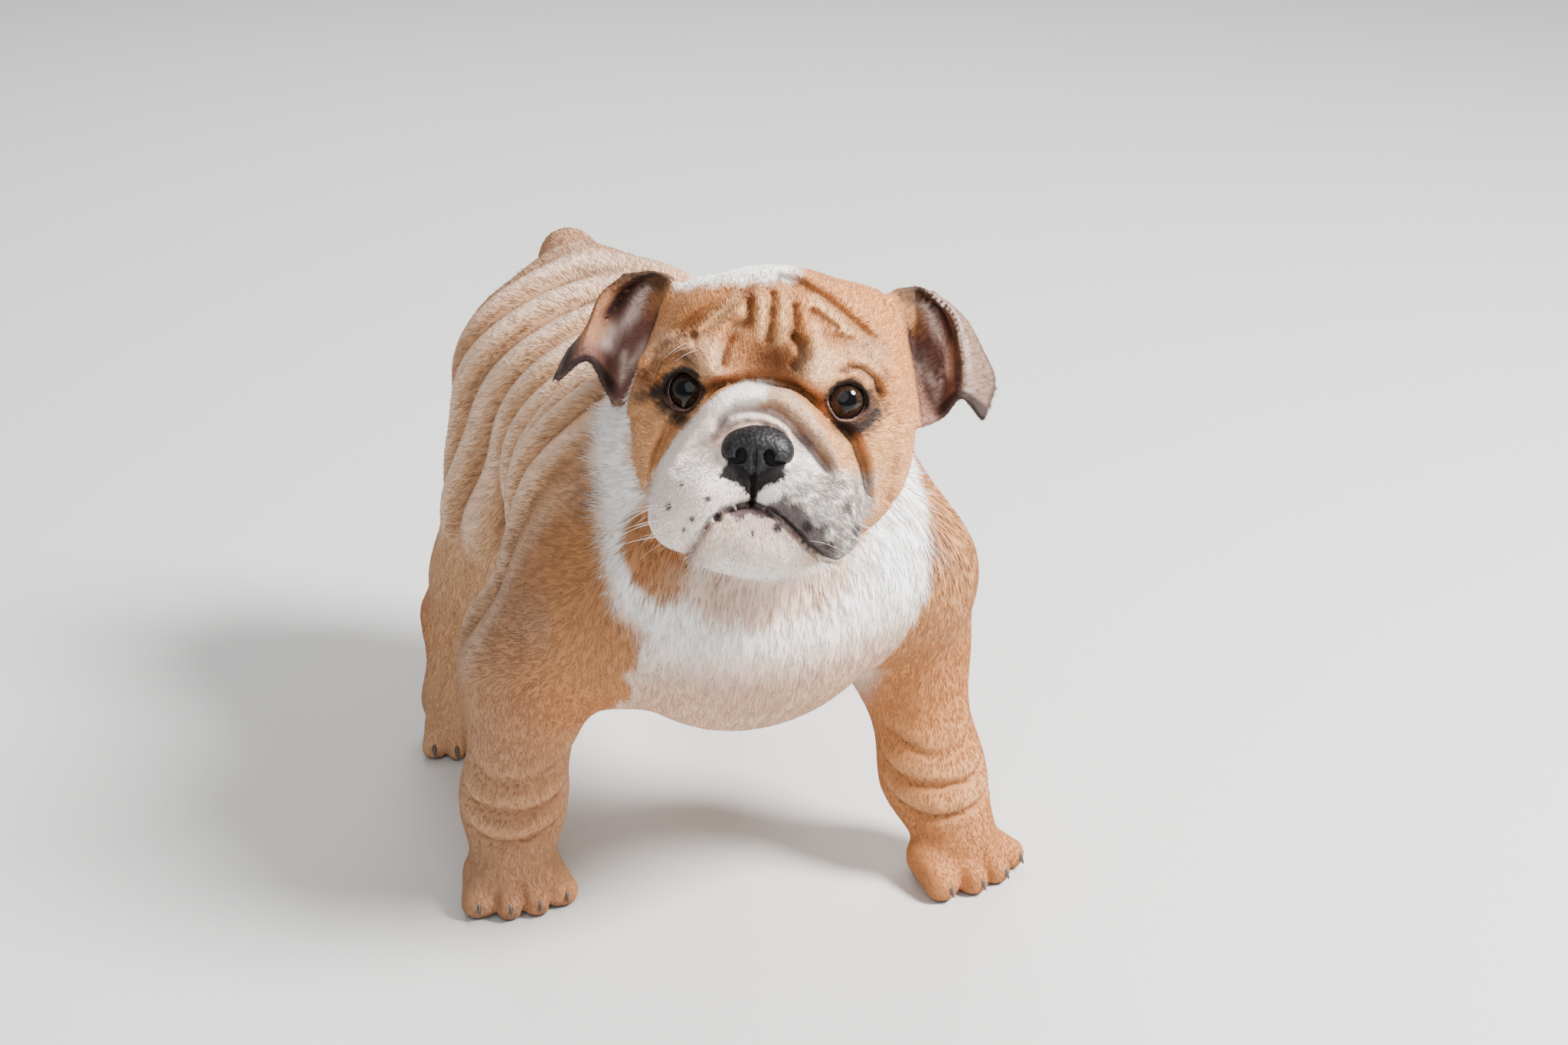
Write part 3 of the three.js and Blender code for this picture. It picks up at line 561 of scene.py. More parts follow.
def body_relief(p):
    """Height added to the body: the trunk's hoops, the wrists' creases and rolls, the clefts between toes."""
    side = smooth(15, -30, p[:, 0]) + LEFT_HOOPS * smooth(10, 50, p[:, 0])
    where = smooth(22, 50, p[:, 1]) * smooth(232, 205, p[:, 1]) * smooth(120, 150, p[:, 2])
    height = HOOP_HEIGHT * (hoop_ridge(p) - 0.6) * side * where
    crease, roll = wrist_folds(p)
    height += 1.6 * roll - 2.8 * crease
    for paw in PAWS.values():
        across, forward, up = paw_place(p, paw)
        size, spread = paw[3:]
        cleft = np.zeros(len(p))
        for middle in CLEFTS:
            line = (across - middle * spread * (0.8 + 0.3 * forward)) * size
            cleft += np.exp(-((line / 1.9) ** 2))
        toes = smooth(1.3, 1.1, np.hypot(across, forward)) * smooth(0.85, 0.5, up)
        height -= 2.4 * np.minimum(cleft, 1) * (toes * smooth(0.45, 0.8, forward))
    return height


def paw_place(p, paw):
    """Sideways, forward and up of each point on a paw, in units of the paw."""
    x, y, turn, size, _ = paw
    a = math.radians(turn)
    dx, dy = (p[:, 0] - x) / size, (p[:, 1] - y) / size
    return dx * math.cos(a) + dy * math.sin(a), dx * math.sin(a) - dy * math.cos(a), p[:, 2] / size


# The lids: a shell round each eyeball, open in an almond that leans down at its outer corner
LID, LID_TURN, LID_LEAN = 1.3, 20.0, 11.0
LID_REACH = 26.0  # points further than this from the eye's centre are far outside its lids
ALMOND_HALF, ALMOND_UPPER, ALMOND_LOWER = 8.5, 7.7, 8.7


def eye_frame(side):
    """An eye's centre and its axes: outward along the opening, up across it, and out of the head."""
    turn, lean = math.radians(LID_TURN), math.radians(LID_LEAN)
    out = HEAD_AXES @ np.array([side * math.sin(turn), -math.cos(turn), 0.03])
    out /= np.linalg.norm(out)
    level = HEAD_AXES @ np.array([side * math.cos(turn), math.sin(turn), 0])
    rise = np.cross(level, out) * -side
    rise *= np.sign(rise[2])
    across = math.cos(lean) * level - math.sin(lean) * rise
    up = math.sin(lean) * level + math.cos(lean) * rise
    return on_head(side * EYE_SPACING, -EYE_SETBACK, 0), across, up, out


EYE_FRAMES = {side: eye_frame(side) for side in SIDES}


def almond(p, side):
    """How far outside the lids' opening each point is, seen along the eye's axis, and its distance from the
    eyeball's centre: the opening is an ellipse whose height shrinks toward its corners."""
    centre, across, up, out = EYE_FRAMES[side]
    q = p - centre
    a, b, c = q @ across, q @ up, q @ out
    shrink = 1 - 0.16 * np.clip(np.abs(a) / ALMOND_HALF, 0, 1) ** 2
    tall = np.where(b > 0, ALMOND_UPPER, ALMOND_LOWER) * shrink
    inside = np.hypot(a / ALMOND_HALF, b / tall) - 1
    gap = np.where(c > 0, inside * 6.5, 9.0)
    return gap, np.sqrt((q * q).sum(1))


FLOOR_GAP = 0.35
RELIEF_REACH = 14  # folds are worked out for points nearer the plain form than this


def skin_form(p, thicker=0.0):
    """Distance to the skin: body and head blended, sockets carved, ears and lids added, the folds raised."""
    body, head = joined(BODY, p), joined(HEAD, p)
    d = blended(body, head, HEAD_BLEND)
    for socket in SOCKETS:
        d = -blended(-d, socket(p), SOCKET_BLEND)
    near = np.flatnonzero(np.abs(d) < RELIEF_REACH)
    if len(near):
        q = p[near]
        d[near] -= body_relief(q) * smooth(0, 8, head[near] - body[near])
        face = np.flatnonzero(head[near] < RELIEF_REACH)
        if len(face):
            d[near[face]] -= face_relief(q[face]) * smooth(12, 2, head[near[face]] - body[near[face]] + 4)
    d = d + coat_depth(p)
    for side in SIDES:
        close = near_ear(p, side)
        if len(close):
            reach, down, along, height = ear_place(p[close], side)
            d[close] = blended(d[close], reach - ear_half(down, along, height) - thicker, 4)
        centre = EYE_FRAMES[side][0]
        close = np.flatnonzero(((p - centre) ** 2).sum(1) < LID_REACH**2)
        if len(close):
            gap, reach = almond(p[close], side)
            covered = blended(d[close], reach - EYE_RADIUS - LID, 4)
            hole = np.maximum(gap, EYE_RADIUS - 0.8 - reach)
            d[close] = -blended(-covered, hole, 1.0)
    return np.maximum(d, FLOOR_GAP - p[:, 2])


def coat_depth(p):
    """How far the skin lies inside the solids, which reach the coat's tips: least on the face and feet."""
    left, forward, up = head_place(p)
    face = smooth(75, 40, np.sqrt(left**2 + (forward - 5) ** 2 + (up + 20) ** 2))
    foot = smooth(60, 30, p[:, 2])
    return 1.5 - 1.0 * np.maximum(face, foot)


# From the form to a mesh
def surface_nets(values, grids):
    """A closed surface where values cross nought: a point in each crossed cell, at the mean of its edges'
    crossings, and a four-sided face across each crossed grid edge, parted along its shorter diagonal."""
    inside = values < 0
    shape = tuple(n - 1 for n in values.shape)
    corners = [(i, j, k) for i in (0, 1) for j in (0, 1) for k in (0, 1)]
    count = np.zeros(shape, np.int8)
    for i, j, k in corners:
        count += inside[i : shape[0] + i, j : shape[1] + j, k : shape[2] + k]
    cells = np.nonzero((count > 0) & (count < 8))
    number = np.full(shape, -1)
    number[cells] = np.arange(len(cells[0]))
    total, crossings = np.zeros((len(cells[0]), 3)), np.zeros(len(cells[0]))
    for axis in range(3):
        for c in corners:
            if c[axis]:
                continue
            low = [cells[n] + c[n] for n in range(3)]
            high = [low[n] + (n == axis) for n in range(3)]
            va, vb = values[tuple(low)], values[tuple(high)]
            crossed = (va < 0) != (vb < 0)
            t = np.where(crossed, va / np.where(crossed, va - vb, 1), 0)
            place = np.stack([grids[n][low[n]] for n in range(3)], 1)
            place[:, axis] += t * (grids[axis][high[axis]] - grids[axis][low[axis]])
            total[crossed] += place[crossed]
            crossings[crossed] += 1
    points = total / crossings[:, None]
    triangles = []
    for axis in range(3):
        b, c = (axis + 1) % 3, (axis + 2) % 3
        first, second = [slice(1, -1)] * 3, [slice(1, -1)] * 3
        first[axis], second[axis] = slice(0, -1), slice(1, None)
        start = inside[tuple(first)]
        crossed = np.nonzero(start != inside[tuple(second)])
        place = [crossed[n] + (n != axis) for n in range(3)]

        def around(back_b, back_c):
            at = list(place)
            at[b] = place[b] - back_b
            at[c] = place[c] - back_c
            return number[tuple(at)]

        ring = np.stack([around(1, 1), around(0, 1), around(0, 0), around(1, 0)], 1)
        ring[~start[crossed]] = ring[~start[crossed]][:, ::-1]
        across = ((points[ring[:, 0]] - points[ring[:, 2]]) ** 2).sum(1)
        other = ((points[ring[:, 1]] - points[ring[:, 3]]) ** 2).sum(1)
        shorter = across <= other
        triangles += [ring[shorter][:, [0, 1, 2]], ring[shorter][:, [0, 2, 3]]]
        triangles += [ring[~shorter][:, [0, 1, 3]], ring[~shorter][:, [1, 2, 3]]]
    return points, np.concatenate(triangles)


GRID_CHUNK = 150000  # grid points worked out at a time


def sampled(form, grids):
    """The form's values on a grid."""
    mesh = np.stack(np.meshgrid(*grids, indexing="ij"), -1).reshape(-1, 3)
    values = np.concatenate([form(mesh[s : s + GRID_CHUNK]) for s in range(0, len(mesh), GRID_CHUNK)])
    return values.reshape([len(g) for g in grids])


def slopes(form, p, step=0.12):
    """The form and its slope at each point, by small steps along each axis."""
    d = form(p)
    slope = np.stack([form(p + step * np.eye(3)[n]) - d for n in range(3)], 1) / step
    return d, slope


def drawn_onto(form, p, rounds, most):
    """Points moved onto the surface by Newton's steps d * slope / |slope|^2, none longer than most."""
    for _ in range(rounds):
        d, slope = slopes(form, p)
        step = -d[:, None] * slope / np.maximum((slope * slope).sum(1), 0.2)[:, None]
        size = np.linalg.norm(step, axis=1, keepdims=True)
        p = p + step * np.minimum(1, most / np.maximum(size, 1e-9))
    return p


def refined(points, triangles, wanted):
    """Edges longer than is wanted at their middles are halved, and each triangle is parted to match."""
    n = len(points)
    pairs = triangles[:, [0, 1, 1, 2, 2, 0]].reshape(-1, 2)
    pairs = np.sort(pairs, axis=1)
    edges, which = np.unique(pairs[:, 0] * n + pairs[:, 1], return_inverse=True)
    a, b = edges // n, edges % n
    middle = (points[a] + points[b]) / 2
    halved = np.linalg.norm(points[a] - points[b], axis=1) > wanted(middle)
    new = np.full(len(edges), -1)
    new[halved] = n + np.arange(halved.sum())
    mids = new[which].reshape(-1, 3)
    cut = (mids >= 0).astype(int)
    power = np.array([1, 2, 4])
    code = cut @ power

    def parted(chosen, start, *faces):
        """Parts of the chosen triangles, turned by start: 0 to 2 are their corners, 3 to 5 the middles."""
        six = np.concatenate([np.roll(triangles, -start, 1), np.roll(mids, -start, 1)], 1)[chosen]
        return [six[:, face] for face in faces]

    parts = [triangles[code == 0]]
    for start in range(3):
        turned_code = np.roll(cut, -start, 1) @ power
        parts += parted(turned_code == 1, start, [0, 3, 2], [3, 1, 2])
        parts += parted(turned_code == 3, start, [3, 1, 4], [0, 3, 4], [0, 4, 2])
    parts += parted(code == 7, 0, [0, 3, 5], [3, 1, 4], [5, 4, 2], [3, 4, 5])
    return np.concatenate([points, middle[halved]]), np.concatenate(parts)


def point_normals(points, triangles):
    """The mean normal of the faces round each point, weighted by area."""
    a, b, c = (points[triangles[:, k]] for k in range(3))
    face = np.cross(b - a, c - a)
    total = np.zeros_like(points)
    for k in range(3):
        for n in range(3):
            total[:, n] += np.bincount(triangles[:, k], face[:, n], len(points))
    return unit(total)


def evened(points, triangles, share):
    """Each point slid along the surface toward the mean of its neighbours."""
    total, count = np.zeros_like(points), np.zeros(len(points))
    for k in range(3):
        here, there = triangles[:, k], triangles[:, (k + 1) % 3]
        for a, b in ((here, there), (there, here)):
            count += np.bincount(a, minlength=len(points))
            for n in range(3):
                total[:, n] += np.bincount(a, points[b, n], len(points))
    step = total / np.maximum(count, 1)[:, None] - points
    normal = point_normals(points, triangles)
    step -= (step * normal).sum(1, keepdims=True) * normal
    return points + share * step


def face_nearness(p):
    """1 where the face needs fine triangles, 0 elsewhere: near the eyes, the nose and the mouth."""
    fine = np.zeros(len(p))
    for side in SIDES:
        fine = np.maximum(fine, smooth(17, 12, np.linalg.norm(p - EYE_FRAMES[side][0], axis=1)))
    across, high, forward = seen_place(p)
    front = smooth(-25, -12, forward)
    fine = np.maximum(fine, smooth(4.5, 3, line_distance(across, high, MOUTH)) * front)
    return np.maximum(fine, smooth(3, 2, line_distance(across, high, PHILTRUM)) * front)


def ear_nearness(p):
    """1 in the ears."""
    left, forward, up = head_place(p)
    return smooth(44, 50, np.abs(left)) * smooth(-76, -70, forward) * smooth(-16, -8, up)


def front_nearness(p):
    """1 on the front of the face, where the folds are, and in the ears."""
    across, high, forward = seen_place(p)
    face = smooth(60, 56, np.abs(across)) * smooth(-86, -82, high) * smooth(56, 52, high)
    return np.maximum(face * smooth(-34, -28, forward), ear_nearness(p))


def head_nearness(p):
    """1 on the front of the head and in the ears."""
    _, forward, up = head_place(p)
    return np.maximum(smooth(-50, -40, forward) * smooth(-92, -86, up), ear_nearness(p))


# Pieces of mesh
SHIFT = (np.array(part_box("eye_left")[0]) + np.array(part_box("eye_left")[1])) / 2 * 1000
SHIFT = SHIFT - on_head(EYE_SPACING, -EYE_SETBACK, 0)


def to_part(p):
    """Stance millimetres as metres in the part's frame."""
    return (p + SHIFT) * 0.001


def mesh_piece(name, points, faces, material, attributes=None, uv=None):
    """A mesh object from arrays of points and faces, with values on its points and a map on its corners."""
    mesh = bpy.data.meshes.new(name)
    size = faces.shape[1]
    mesh.vertices.add(len(points))
    mesh.vertices.foreach_set("co", np.ascontiguousarray(to_part(points), np.float32).ravel())
    mesh.loops.add(faces.size)
    mesh.loops.foreach_set("vertex_index", np.ascontiguousarray(faces, np.int32).ravel())
    mesh.polygons.add(len(faces))
    mesh.polygons.foreach_set("loop_start", np.arange(0, faces.size, size, dtype=np.int32))
    mesh.update(calc_edges=True)
    mesh.validate()
    mesh.polygons.foreach_set("use_smooth", np.ones(len(mesh.polygons), bool))
    for key, values in (attributes or {}).items():
        if values.ndim == 1:
            kind, field = "FLOAT", "value"
        elif key == "tint":
            kind, field = "FLOAT_COLOR", "color"
            values = np.concatenate([values, np.ones((len(values), 1))], 1)
        else:
            kind, field = "FLOAT_VECTOR", "vector"
        kept = mesh.attributes.new(key, kind, "POINT")
        kept.data.foreach_set(field, values.astype(np.float32).ravel())
    if uv is not None:
        layer = mesh.uv_layers.new(name="OFBake")
        layer.uv.foreach_set("vector", np.ascontiguousarray(uv, np.float32).ravel())
    piece = bpy.data.objects.new(name, mesh)
    bpy.context.scene.collection.objects.link(piece)
    mesh.materials.append(material)
    return piece


# Markings: the same for skin and coat
def spot(x, y, cx, cy, radius, soft=0.35):
    """1 inside a round spot, falling to 0 over its soft edge."""
    return smooth(1 + soft, 1 - soft, np.hypot(x - cx, y - cy) / radius)


def wobble(p, size, seed=0.0):
    """A smooth unevenness of -1 to 1 in space: the mean of sines along turned axes."""
    q = p / size
    a = np.sin(q[:, 0] * 1.7 + q[:, 1] * 0.9 + seed) * np.sin(q[:, 1] * 1.3 - q[:, 2] * 1.1 + 2 * seed)
    b = np.sin(q[:, 2] * 2.1 + q[:, 0] * 0.7 + 3 * seed + 1) * np.sin(q[:, 0] * 2.9 + q[:, 2] * 0.5 + seed)
    c = np.sin(q[:, 1] * 4.3 + q[:, 2] * 3.1 + seed) * np.sin(q[:, 0] * 3.7 - q[:, 1] * 2.3 + 5)
    return (a + b + 0.6 * c) / 2.6


def speckle(p, size, seed=0):
    """Unevenness of 0 to 1: a hashed value at each corner of a cubic lattice, mixed smoothly between them."""
    q = p / size + 17.3 * seed
    cell = np.floor(q).astype(np.int64)
    t = q - cell
    t = t * t * (3 - 2 * t)
    total = np.zeros(len(p))
    for corner in np.ndindex(2, 2, 2):
        c = cell + np.array(corner)
        code = (c[:, 0] * 73856093) ^ (c[:, 1] * 19349663) ^ (c[:, 2] * 83492791)
        code = ((code & 0xFFFFFFFF) * 2654435761 + 974711) & 0xFFFFFFFF
        code = ((code ^ (code >> 15)) * 2246822519) & 0xFFFFFFFF
        weight = np.prod(np.where(np.array(corner) == 1, t, 1 - t), axis=1)
        total += weight * (code / 0xFFFFFFFF)
    return total


PALETTE = {
    "tan": srgb(178, 123, 78),
    "pale": srgb(222, 174, 126),
    "warm": srgb(190, 119, 62),
    "deep": srgb(112, 66, 38),
    "white": srgb(252, 250, 248),
    "rose": srgb(150, 108, 98),
    "fawn": srgb(194, 158, 130),
    "cream": srgb(208, 170, 142),
    "pink": srgb(232, 198, 184),
    "grey": srgb(150, 130, 118),
    "dark": srgb(30, 25, 26),
    "slate": srgb(84, 72, 76),
    "conch": srgb(120, 80, 70),
    "shell": srgb(222, 198, 190),
    # painted shade in the ears' hollows
    "hollow": srgb(44, 24, 24),
    "flap": srgb(126, 101, 86),
    # painted highlight on the brow bulges
    "ivory": srgb(236, 204, 168),
    "lip": srgb(98, 78, 86),
    "roll": srgb(226, 194, 168),
    # painted highlight on the ridges of the flank's hoops
    "ridge_highlight": srgb(238, 206, 180),
    "brown": srgb(146, 108, 84),
}


def mixed(colour, name, weight):
    """The colour, with a share of a named one laid over it."""
    return colour + (np.array(PALETTE[name]) - colour) * np.clip(weight, 0, 1)[:, None]


def head_weight(p):
    """1 on the head, 0 on the body, by which of the two forms is nearer."""
    return smooth(-3, 4, joined(BODY, p) - joined(HEAD, p))


def leg_share(z):
    """1 on the legs, 0 on the trunk, by height."""
    return smooth(135, 105, z)


def chest_share(y, z):
    """1 on the front of the chest."""
    return smooth(0, -40, y) * smooth(250, 220, z)


def collar_edge(z):
    """The y of the collar's back edge, which leans forward toward the belly."""
    return 8 - 0.93 * (228 - z)


def flank_colour(p):
    """Tan, warmer low down, with painted highlight on the hoops' ridges and painted shade in their valleys,
    most of both on the dog's right flank.
    """
    colour = np.tile(np.array(PALETTE["tan"]), (len(p), 1))
    x, y, z = p.T
    ridge = hoop_ridge(p)
    flank = smooth(0, 40, y) * smooth(240, 200, y)
    right_side = smooth(60, -10, x)
    # painted highlight on the hoops' ridges and painted shade in the valleys between them
    ridge_highlight = (0.15 + 0.85 * right_side) * smooth(0.62, 0.98, ridge)
    valley_shade = flank * right_side * smooth(0.6, 0.15, ridge)
    colour = mixed(colour, "warm", 0.5 * smooth(160, 110, z))
    colour = mixed(colour, "fawn", 0.7 * flank)
    colour = mixed(colour, "pale", 0.45 * flank)
    colour = mixed(colour, "ridge_highlight", 0.75 * ridge_highlight * flank * smooth(110, 140, z))
    colour = mixed(colour, "deep", 0.6 * valley_shade * smooth(120, 150, z))
    return mixed(colour, "grey", 0.3 * smooth(235, 258, z + 6 * wobble(p, 20)) * smooth(40, 80, y))


BODY_GREYS = ((-73, 2, 213, 12), (-102, -7, 161, 14), (83, -51, 180, 10))  # x, y, z and radius of dim grey spots, the two on the right shoulder painted shade


def body_colour(p):
    """The flank's colours and white on the collar, chest and belly, with painted shade in brown outside the
    right foreleg, in cream under the chin and in the wrists' creases, painted highlight on the rolls over the
    wrists, and cream low on the chest, partly its own tone and partly painted shade.
    """
    colour = flank_colour(p)
    x, y, z = p.T
    rough = 4 * wobble(p, 9) + 2 * wobble(p, 4, 2)
    behind = collar_edge(z) - y
    edge = np.where(x < 0, 6, 3)
    collar = smooth(-edge, edge, behind + 0.6 * rough)
    right = smooth(-3, 3, x + 64 + rough)
    left = smooth(3, -3, x - 52 - 0.45 * np.maximum(z - 127, 0) - rough)
    low = smooth(168, 160, z)
    chest = collar * (1 - low) + right * low * smooth(10, -8, y + rough)
    chest = chest * np.where(x > 0, left, 1)
    patch = smooth(1.25, 0.9, np.sqrt(((x + 54) / 13) ** 2 + ((y + 48) / 26) ** 2 + ((z - 203) / 21) ** 2))
    belly = smooth(122, 112, z + 3 * wobble(p, 12)) * smooth(70, 50, np.abs(x)) * smooth(-40, -20, y)
    # painted shade under the chin: cream on the throat and the top of the chest
    throat = np.sqrt(((x + 8) / 44) ** 2 + ((z - 186) / 17) ** 2) + 0.25 * wobble(p, 9, 3)
    outer = smooth(-70, -112, x + 8 * wobble(p, 30, 4)) * smooth(225, 195, z) * smooth(-30, 10, y)
    crease, roll = wrist_folds(p)
    colour = mixed(colour, "white", np.maximum(chest, 0.85 * belly))
    # cream low on the chest: partly its own tone, partly painted shade
    colour = mixed(colour, "cream", chest * smooth(175, 135, z))
    colour = mixed(colour, "pale", 0.5 * collar * (1 - low) * smooth(-20, -50, x) * smooth(9, -3, behind))
    colour = mixed(colour, "tan", patch * smooth(-10, -20, y))
    colour = mixed(colour, "pink", 0.35 * belly)
    colour = mixed(colour, "cream", 0.8 * smooth(1.3, 0.7, throat) * smooth(-20, -40, y))
    # grey spots: those on the right shoulder are painted shade
    for cx, cy, cz, radius in BODY_GREYS:
        far = np.sqrt((x - cx) ** 2 + (y - cy) ** 2 + (z - cz) ** 2)
        colour = mixed(colour, "grey", 0.32 * smooth(radius * 1.6, radius * 0.2, far))
    # painted shade in brown on the outer side of the right shoulder and foreleg
    colour = mixed(colour, "brown", 0.55 * outer * smooth(75, 45, y) * (1 - chest))
    # painted shade in the wrists' creases and painted highlight on the rolls over them
    colour = mixed(colour, "deep", 0.5 * crease)
    colour = mixed(colour, "pale", 0.3 * roll)
    return mixed(colour, "slate", smooth(2.2, 1.2, z))


# Lines of painted highlight on the forehead's ridges, as seen from in front
FOREHEAD_RIDGE_HIGHLIGHTS = [
    [(-5.2, 42), (-5.4, 33), (-4.8, 26)], [(4, 42), (4.4, 33), (4, 24)], [(-17, 40), (-21, 33), (-27, 26)],
    [(16, 43), (24, 38), (33, 31)], [(-14.5, 34), (-15, 27)], [(18, 31), (20, 26)],
]
BUTTERFLY = np.array(  # up, left edge and right edge of the black under the nose
    [
        (-22, -15, 14.5), (-29.3, -14, 12.5), (-33.4, -14, 13.3), (-36.5, -15, 9.9), (-38.2, -9.5, 5),
        (-39.5, -5.4, 3.6), (-42.5, -2.2, 2.2), (-46.5, -0.6, 0.8),
    ]
)


# Round marks on the face as seen from in front: across, up, radius, and the share of some; painted highlights
# over the brows
BROW_HIGHLIGHTS = ((-44, 16, 9, 0.2), (42, 21, 10, 0.25), (-26.5, 12.5, 8, 0.5), (22.3, 14.5, 9, 0.5))
NOSE_GREYS = ((19, -17.9, 5), (-15.5, -14, 3.4), (-11, -13, 1.3), (-5.3, -11.2, 1.2), (1.7, -12, 1.3))
LIP_FLECKS = (
    (-19.2, -46.7, 1.5), (-25.1, -56, 1.3), (-27.9, -61.2, 1.0), (11.9, -55.3, 2.0), (1.8, -58.6, 0.9),
    (-13.5, -54, 2.2), (-36, -52, 1.6), (-31, -42, 1.0),
)
DARK_FLECKS = ((40.7, -43.6, 2.4), (31.9, -52.5, 2.2), (24.8, -53.4, 2.4), (46, -52, 2), (35, -60, 2))
# Across, and the height over the lip of the grey hairs or the depth of the lower lip under it
ROAN_BAND = ((4, -1), (7, 5), (12, 9), (21, 11.5), (28, 11.5), (36, 6.6), (41, 3))
LOWER_LIP = ((-11, -0.5), (-8, 3.2), (-4, 5.4), (0, 4.4), (5, 5.0), (9, 2.6), (11, -0.5))


def on_line(x, line):
    """The second number of a line's points, between them by straight pieces, at each x."""
    return np.interp(x, *np.transpose(line))


def brow_colour(p, x, y, forward, rough):
    """The forehead and the cheeks: warm tan, dark brown in the stop, painted shade in the forehead's creases,
    painted highlight on its ridges and brow bulges, white on the crown.
    """
    left, _, up = head_place(p)
    colour = np.tile(np.array(PALETTE["warm"]), (len(p), 1))
    colour = mixed(colour, "pale", 0.4 * smooth(20, -30, y) + 0.22)
    colour = mixed(colour, "deep", 0.95 * np.exp(-(((x + 1) / 15) ** 2) - ((y - 15) / 12) ** 2))
    # painted shade in the forehead's creases
    for line, half, _ in FOLDS[FOREHEAD_FOLDS]:
        reach = line_distance(x, y, line) + 1.2 * (speckle(p, 5, 12) - 0.5)
        colour = mixed(colour, "deep", 0.6 * np.exp(-((reach / half) ** 2)))
    # painted highlight on the brow bulges
    for cx, cy, radius, share in BROW_HIGHLIGHTS:
        colour = mixed(colour, "ivory", share * spot(x, y, cx, cy, radius, 0.7))
    # painted highlight on the ridges between the creases
    for line in FOREHEAD_RIDGE_HIGHLIGHTS:
        colour = mixed(colour, "pale", 0.7 * beside(x, y, line, 2.6))
    crown = smooth(-3, 3, up - 47 - 0.12 * (left + 20) + rough)
    crown = crown * smooth(14, 4, left + rough) * smooth(-52, -44, left)
    nape = smooth(-52, -62, forward) * smooth(22, 10, np.abs(left + 12) + rough) * smooth(10, 20, up)
    return mixed(colour, "white", np.maximum(crown, nape))


def muzzle_colour(p, colour, x, y, forward, rough, mottle):
    """The roll over the nose and the muzzle: white on the dog's right, grey-brown and mottled on its left,
    with painted shade along the roll's creases.
    """
    ahead = smooth(-22, -14, forward)
    arch = 6 - 0.0305 * np.abs(x - np.where(x > 0, 0, -2)) ** 1.95
    muzzle = smooth(-2.2, 1.2, np.where(np.abs(x) < 49, arch - y, -9) + 0.8 * rough)
    muzzle = muzzle * ahead * smooth(54, 50, np.abs(x))
    inside = smooth(1.0, -1.0, y - on_line(x, INNER_ROLL_EDGE) + 0.6 * rough) * smooth(-27, -22, x)
    inside = inside * smooth(35, 31, x) * smooth(-25, -15, forward)
    light = np.maximum(smooth(4, -4, x + 1.5 * rough - 0.35 * (y + 3)), inside)
    grey_brown_side = muzzle * (1 - light)
    # painted shade in brown beside the roll's inner edge, on its grey-brown side
    dim = beside(x, y, INNER_ROLL_EDGE, 9)
    colour = mixed(colour, "white", muzzle * light)
    colour = mixed(colour, "pink", (0.2 + 0.35 * speckle(p, 5, 14)) * muzzle * light * smooth(4, -12, y))
    colour = mixed(colour, "roll", grey_brown_side * 0.9)
    colour = mixed(colour, "brown", grey_brown_side * (0.3 + 0.5 * dim * smooth(0.5, 1.3, mottle)))
    inner = beside(x, y, NOSE_EDGE, 4.0)
    colour = mixed(colour, "pink", 0.8 * inner * smooth(2, -6, y) * smooth(-10, 0, forward))
    # painted shade along the creases at the roll's outer and inner edges
    for line, half, name, share in ((NOSE_ROLL_EDGE, 2.4, "deep", 0.3), (INNER_ROLL_EDGE, 1.6, "rose", 0.35)):
        near = beside(x, y, line, half) * smooth(-30, -20, forward)
        colour = mixed(colour, name, share * near * (0.5 + 0.5 * smooth(-10, 20, x)))
    for cx, cy, radius in NOSE_GREYS:
        grey = spot(x, y, cx + 2.5 * (speckle(p, 2, 15) - 0.5), cy, radius, 0.6)
        colour = mixed(colour, "slate", 0.55 * grey * smooth(-10, 0, forward))
    return colour


def flew_colour(p, colour, x, y, forward, rough, mottle):
    """The hanging lip on the dog's left: white with grey hairs mixed in, most of them along the mouth."""
    ahead = smooth(-22, -14, forward)
    lip_above = y - on_line(x, MOUTH)
    flew = smooth(10, 14, x) * smooth(-24, -34, y) * smooth(54, 48, x + 2 * rough) * ahead
    band = on_line(x, ROAN_BAND) - lip_above - 6 * (speckle(p, 2.6, 9) - 0.5)
    band = 0.92 * smooth(-2.5, 1.0, band) * smooth(5, 9, x) * ahead
    roan = 0.7 * smooth(0.66, 1.15, mottle + 0.1 * smooth(20, 8, lip_above)) * flew
    colour = mixed(colour, "white", 0.8 * flew)
    colour = mixed(colour, "fawn", 0.5 * flew * smooth(0.3, 0.8, speckle(p, 3.2, 21)))
    colour = mixed(colour, "slate", np.maximum(roan, band) * smooth(-1, 0.5, lip_above))
    blaze = spot((x - 7) / 5.2, (y + 41) / 3.9, 0, 0, 1.0, 0.3)
    return mixed(colour, "white", 0.95 * blaze * smooth(-10, 0, forward))


def under_nose_colour(p, colour, x, y, forward):
    """The black skin round and under the nose, down to the parting of the lips, and black on the skin behind
    the leather, painted shade seen through the nostrils.
    """
    left_edge, right_edge = (np.interp(-y, -BUTTERFLY[:, 0], BUTTERFLY[:, n]) for n in (1, 2))
    between = np.minimum(x - left_edge, right_edge - x) + 2.2 * (speckle(p, 2.2, 8) - 0.5)
    butterfly = smooth(-0.5, 0.6, between) * smooth(-20, -23, y) * smooth(-47, -46, y)
    butterfly = np.maximum(butterfly, smooth(1.8, 0.8, line_distance(x, y, PHILTRUM)))
    # black round the leather's edge, and behind the leather, where it shows only through the nostrils as
    # painted shade
    behind = np.linalg.norm((p - on_head(*NOSE_PLACE)) @ HEAD_AXES / NOSE_SIZE, axis=1)
    butterfly = np.maximum(butterfly, smooth(1.15, 1.0, behind))
    return mixed(colour, "dark", butterfly * smooth(-5, 5, forward))


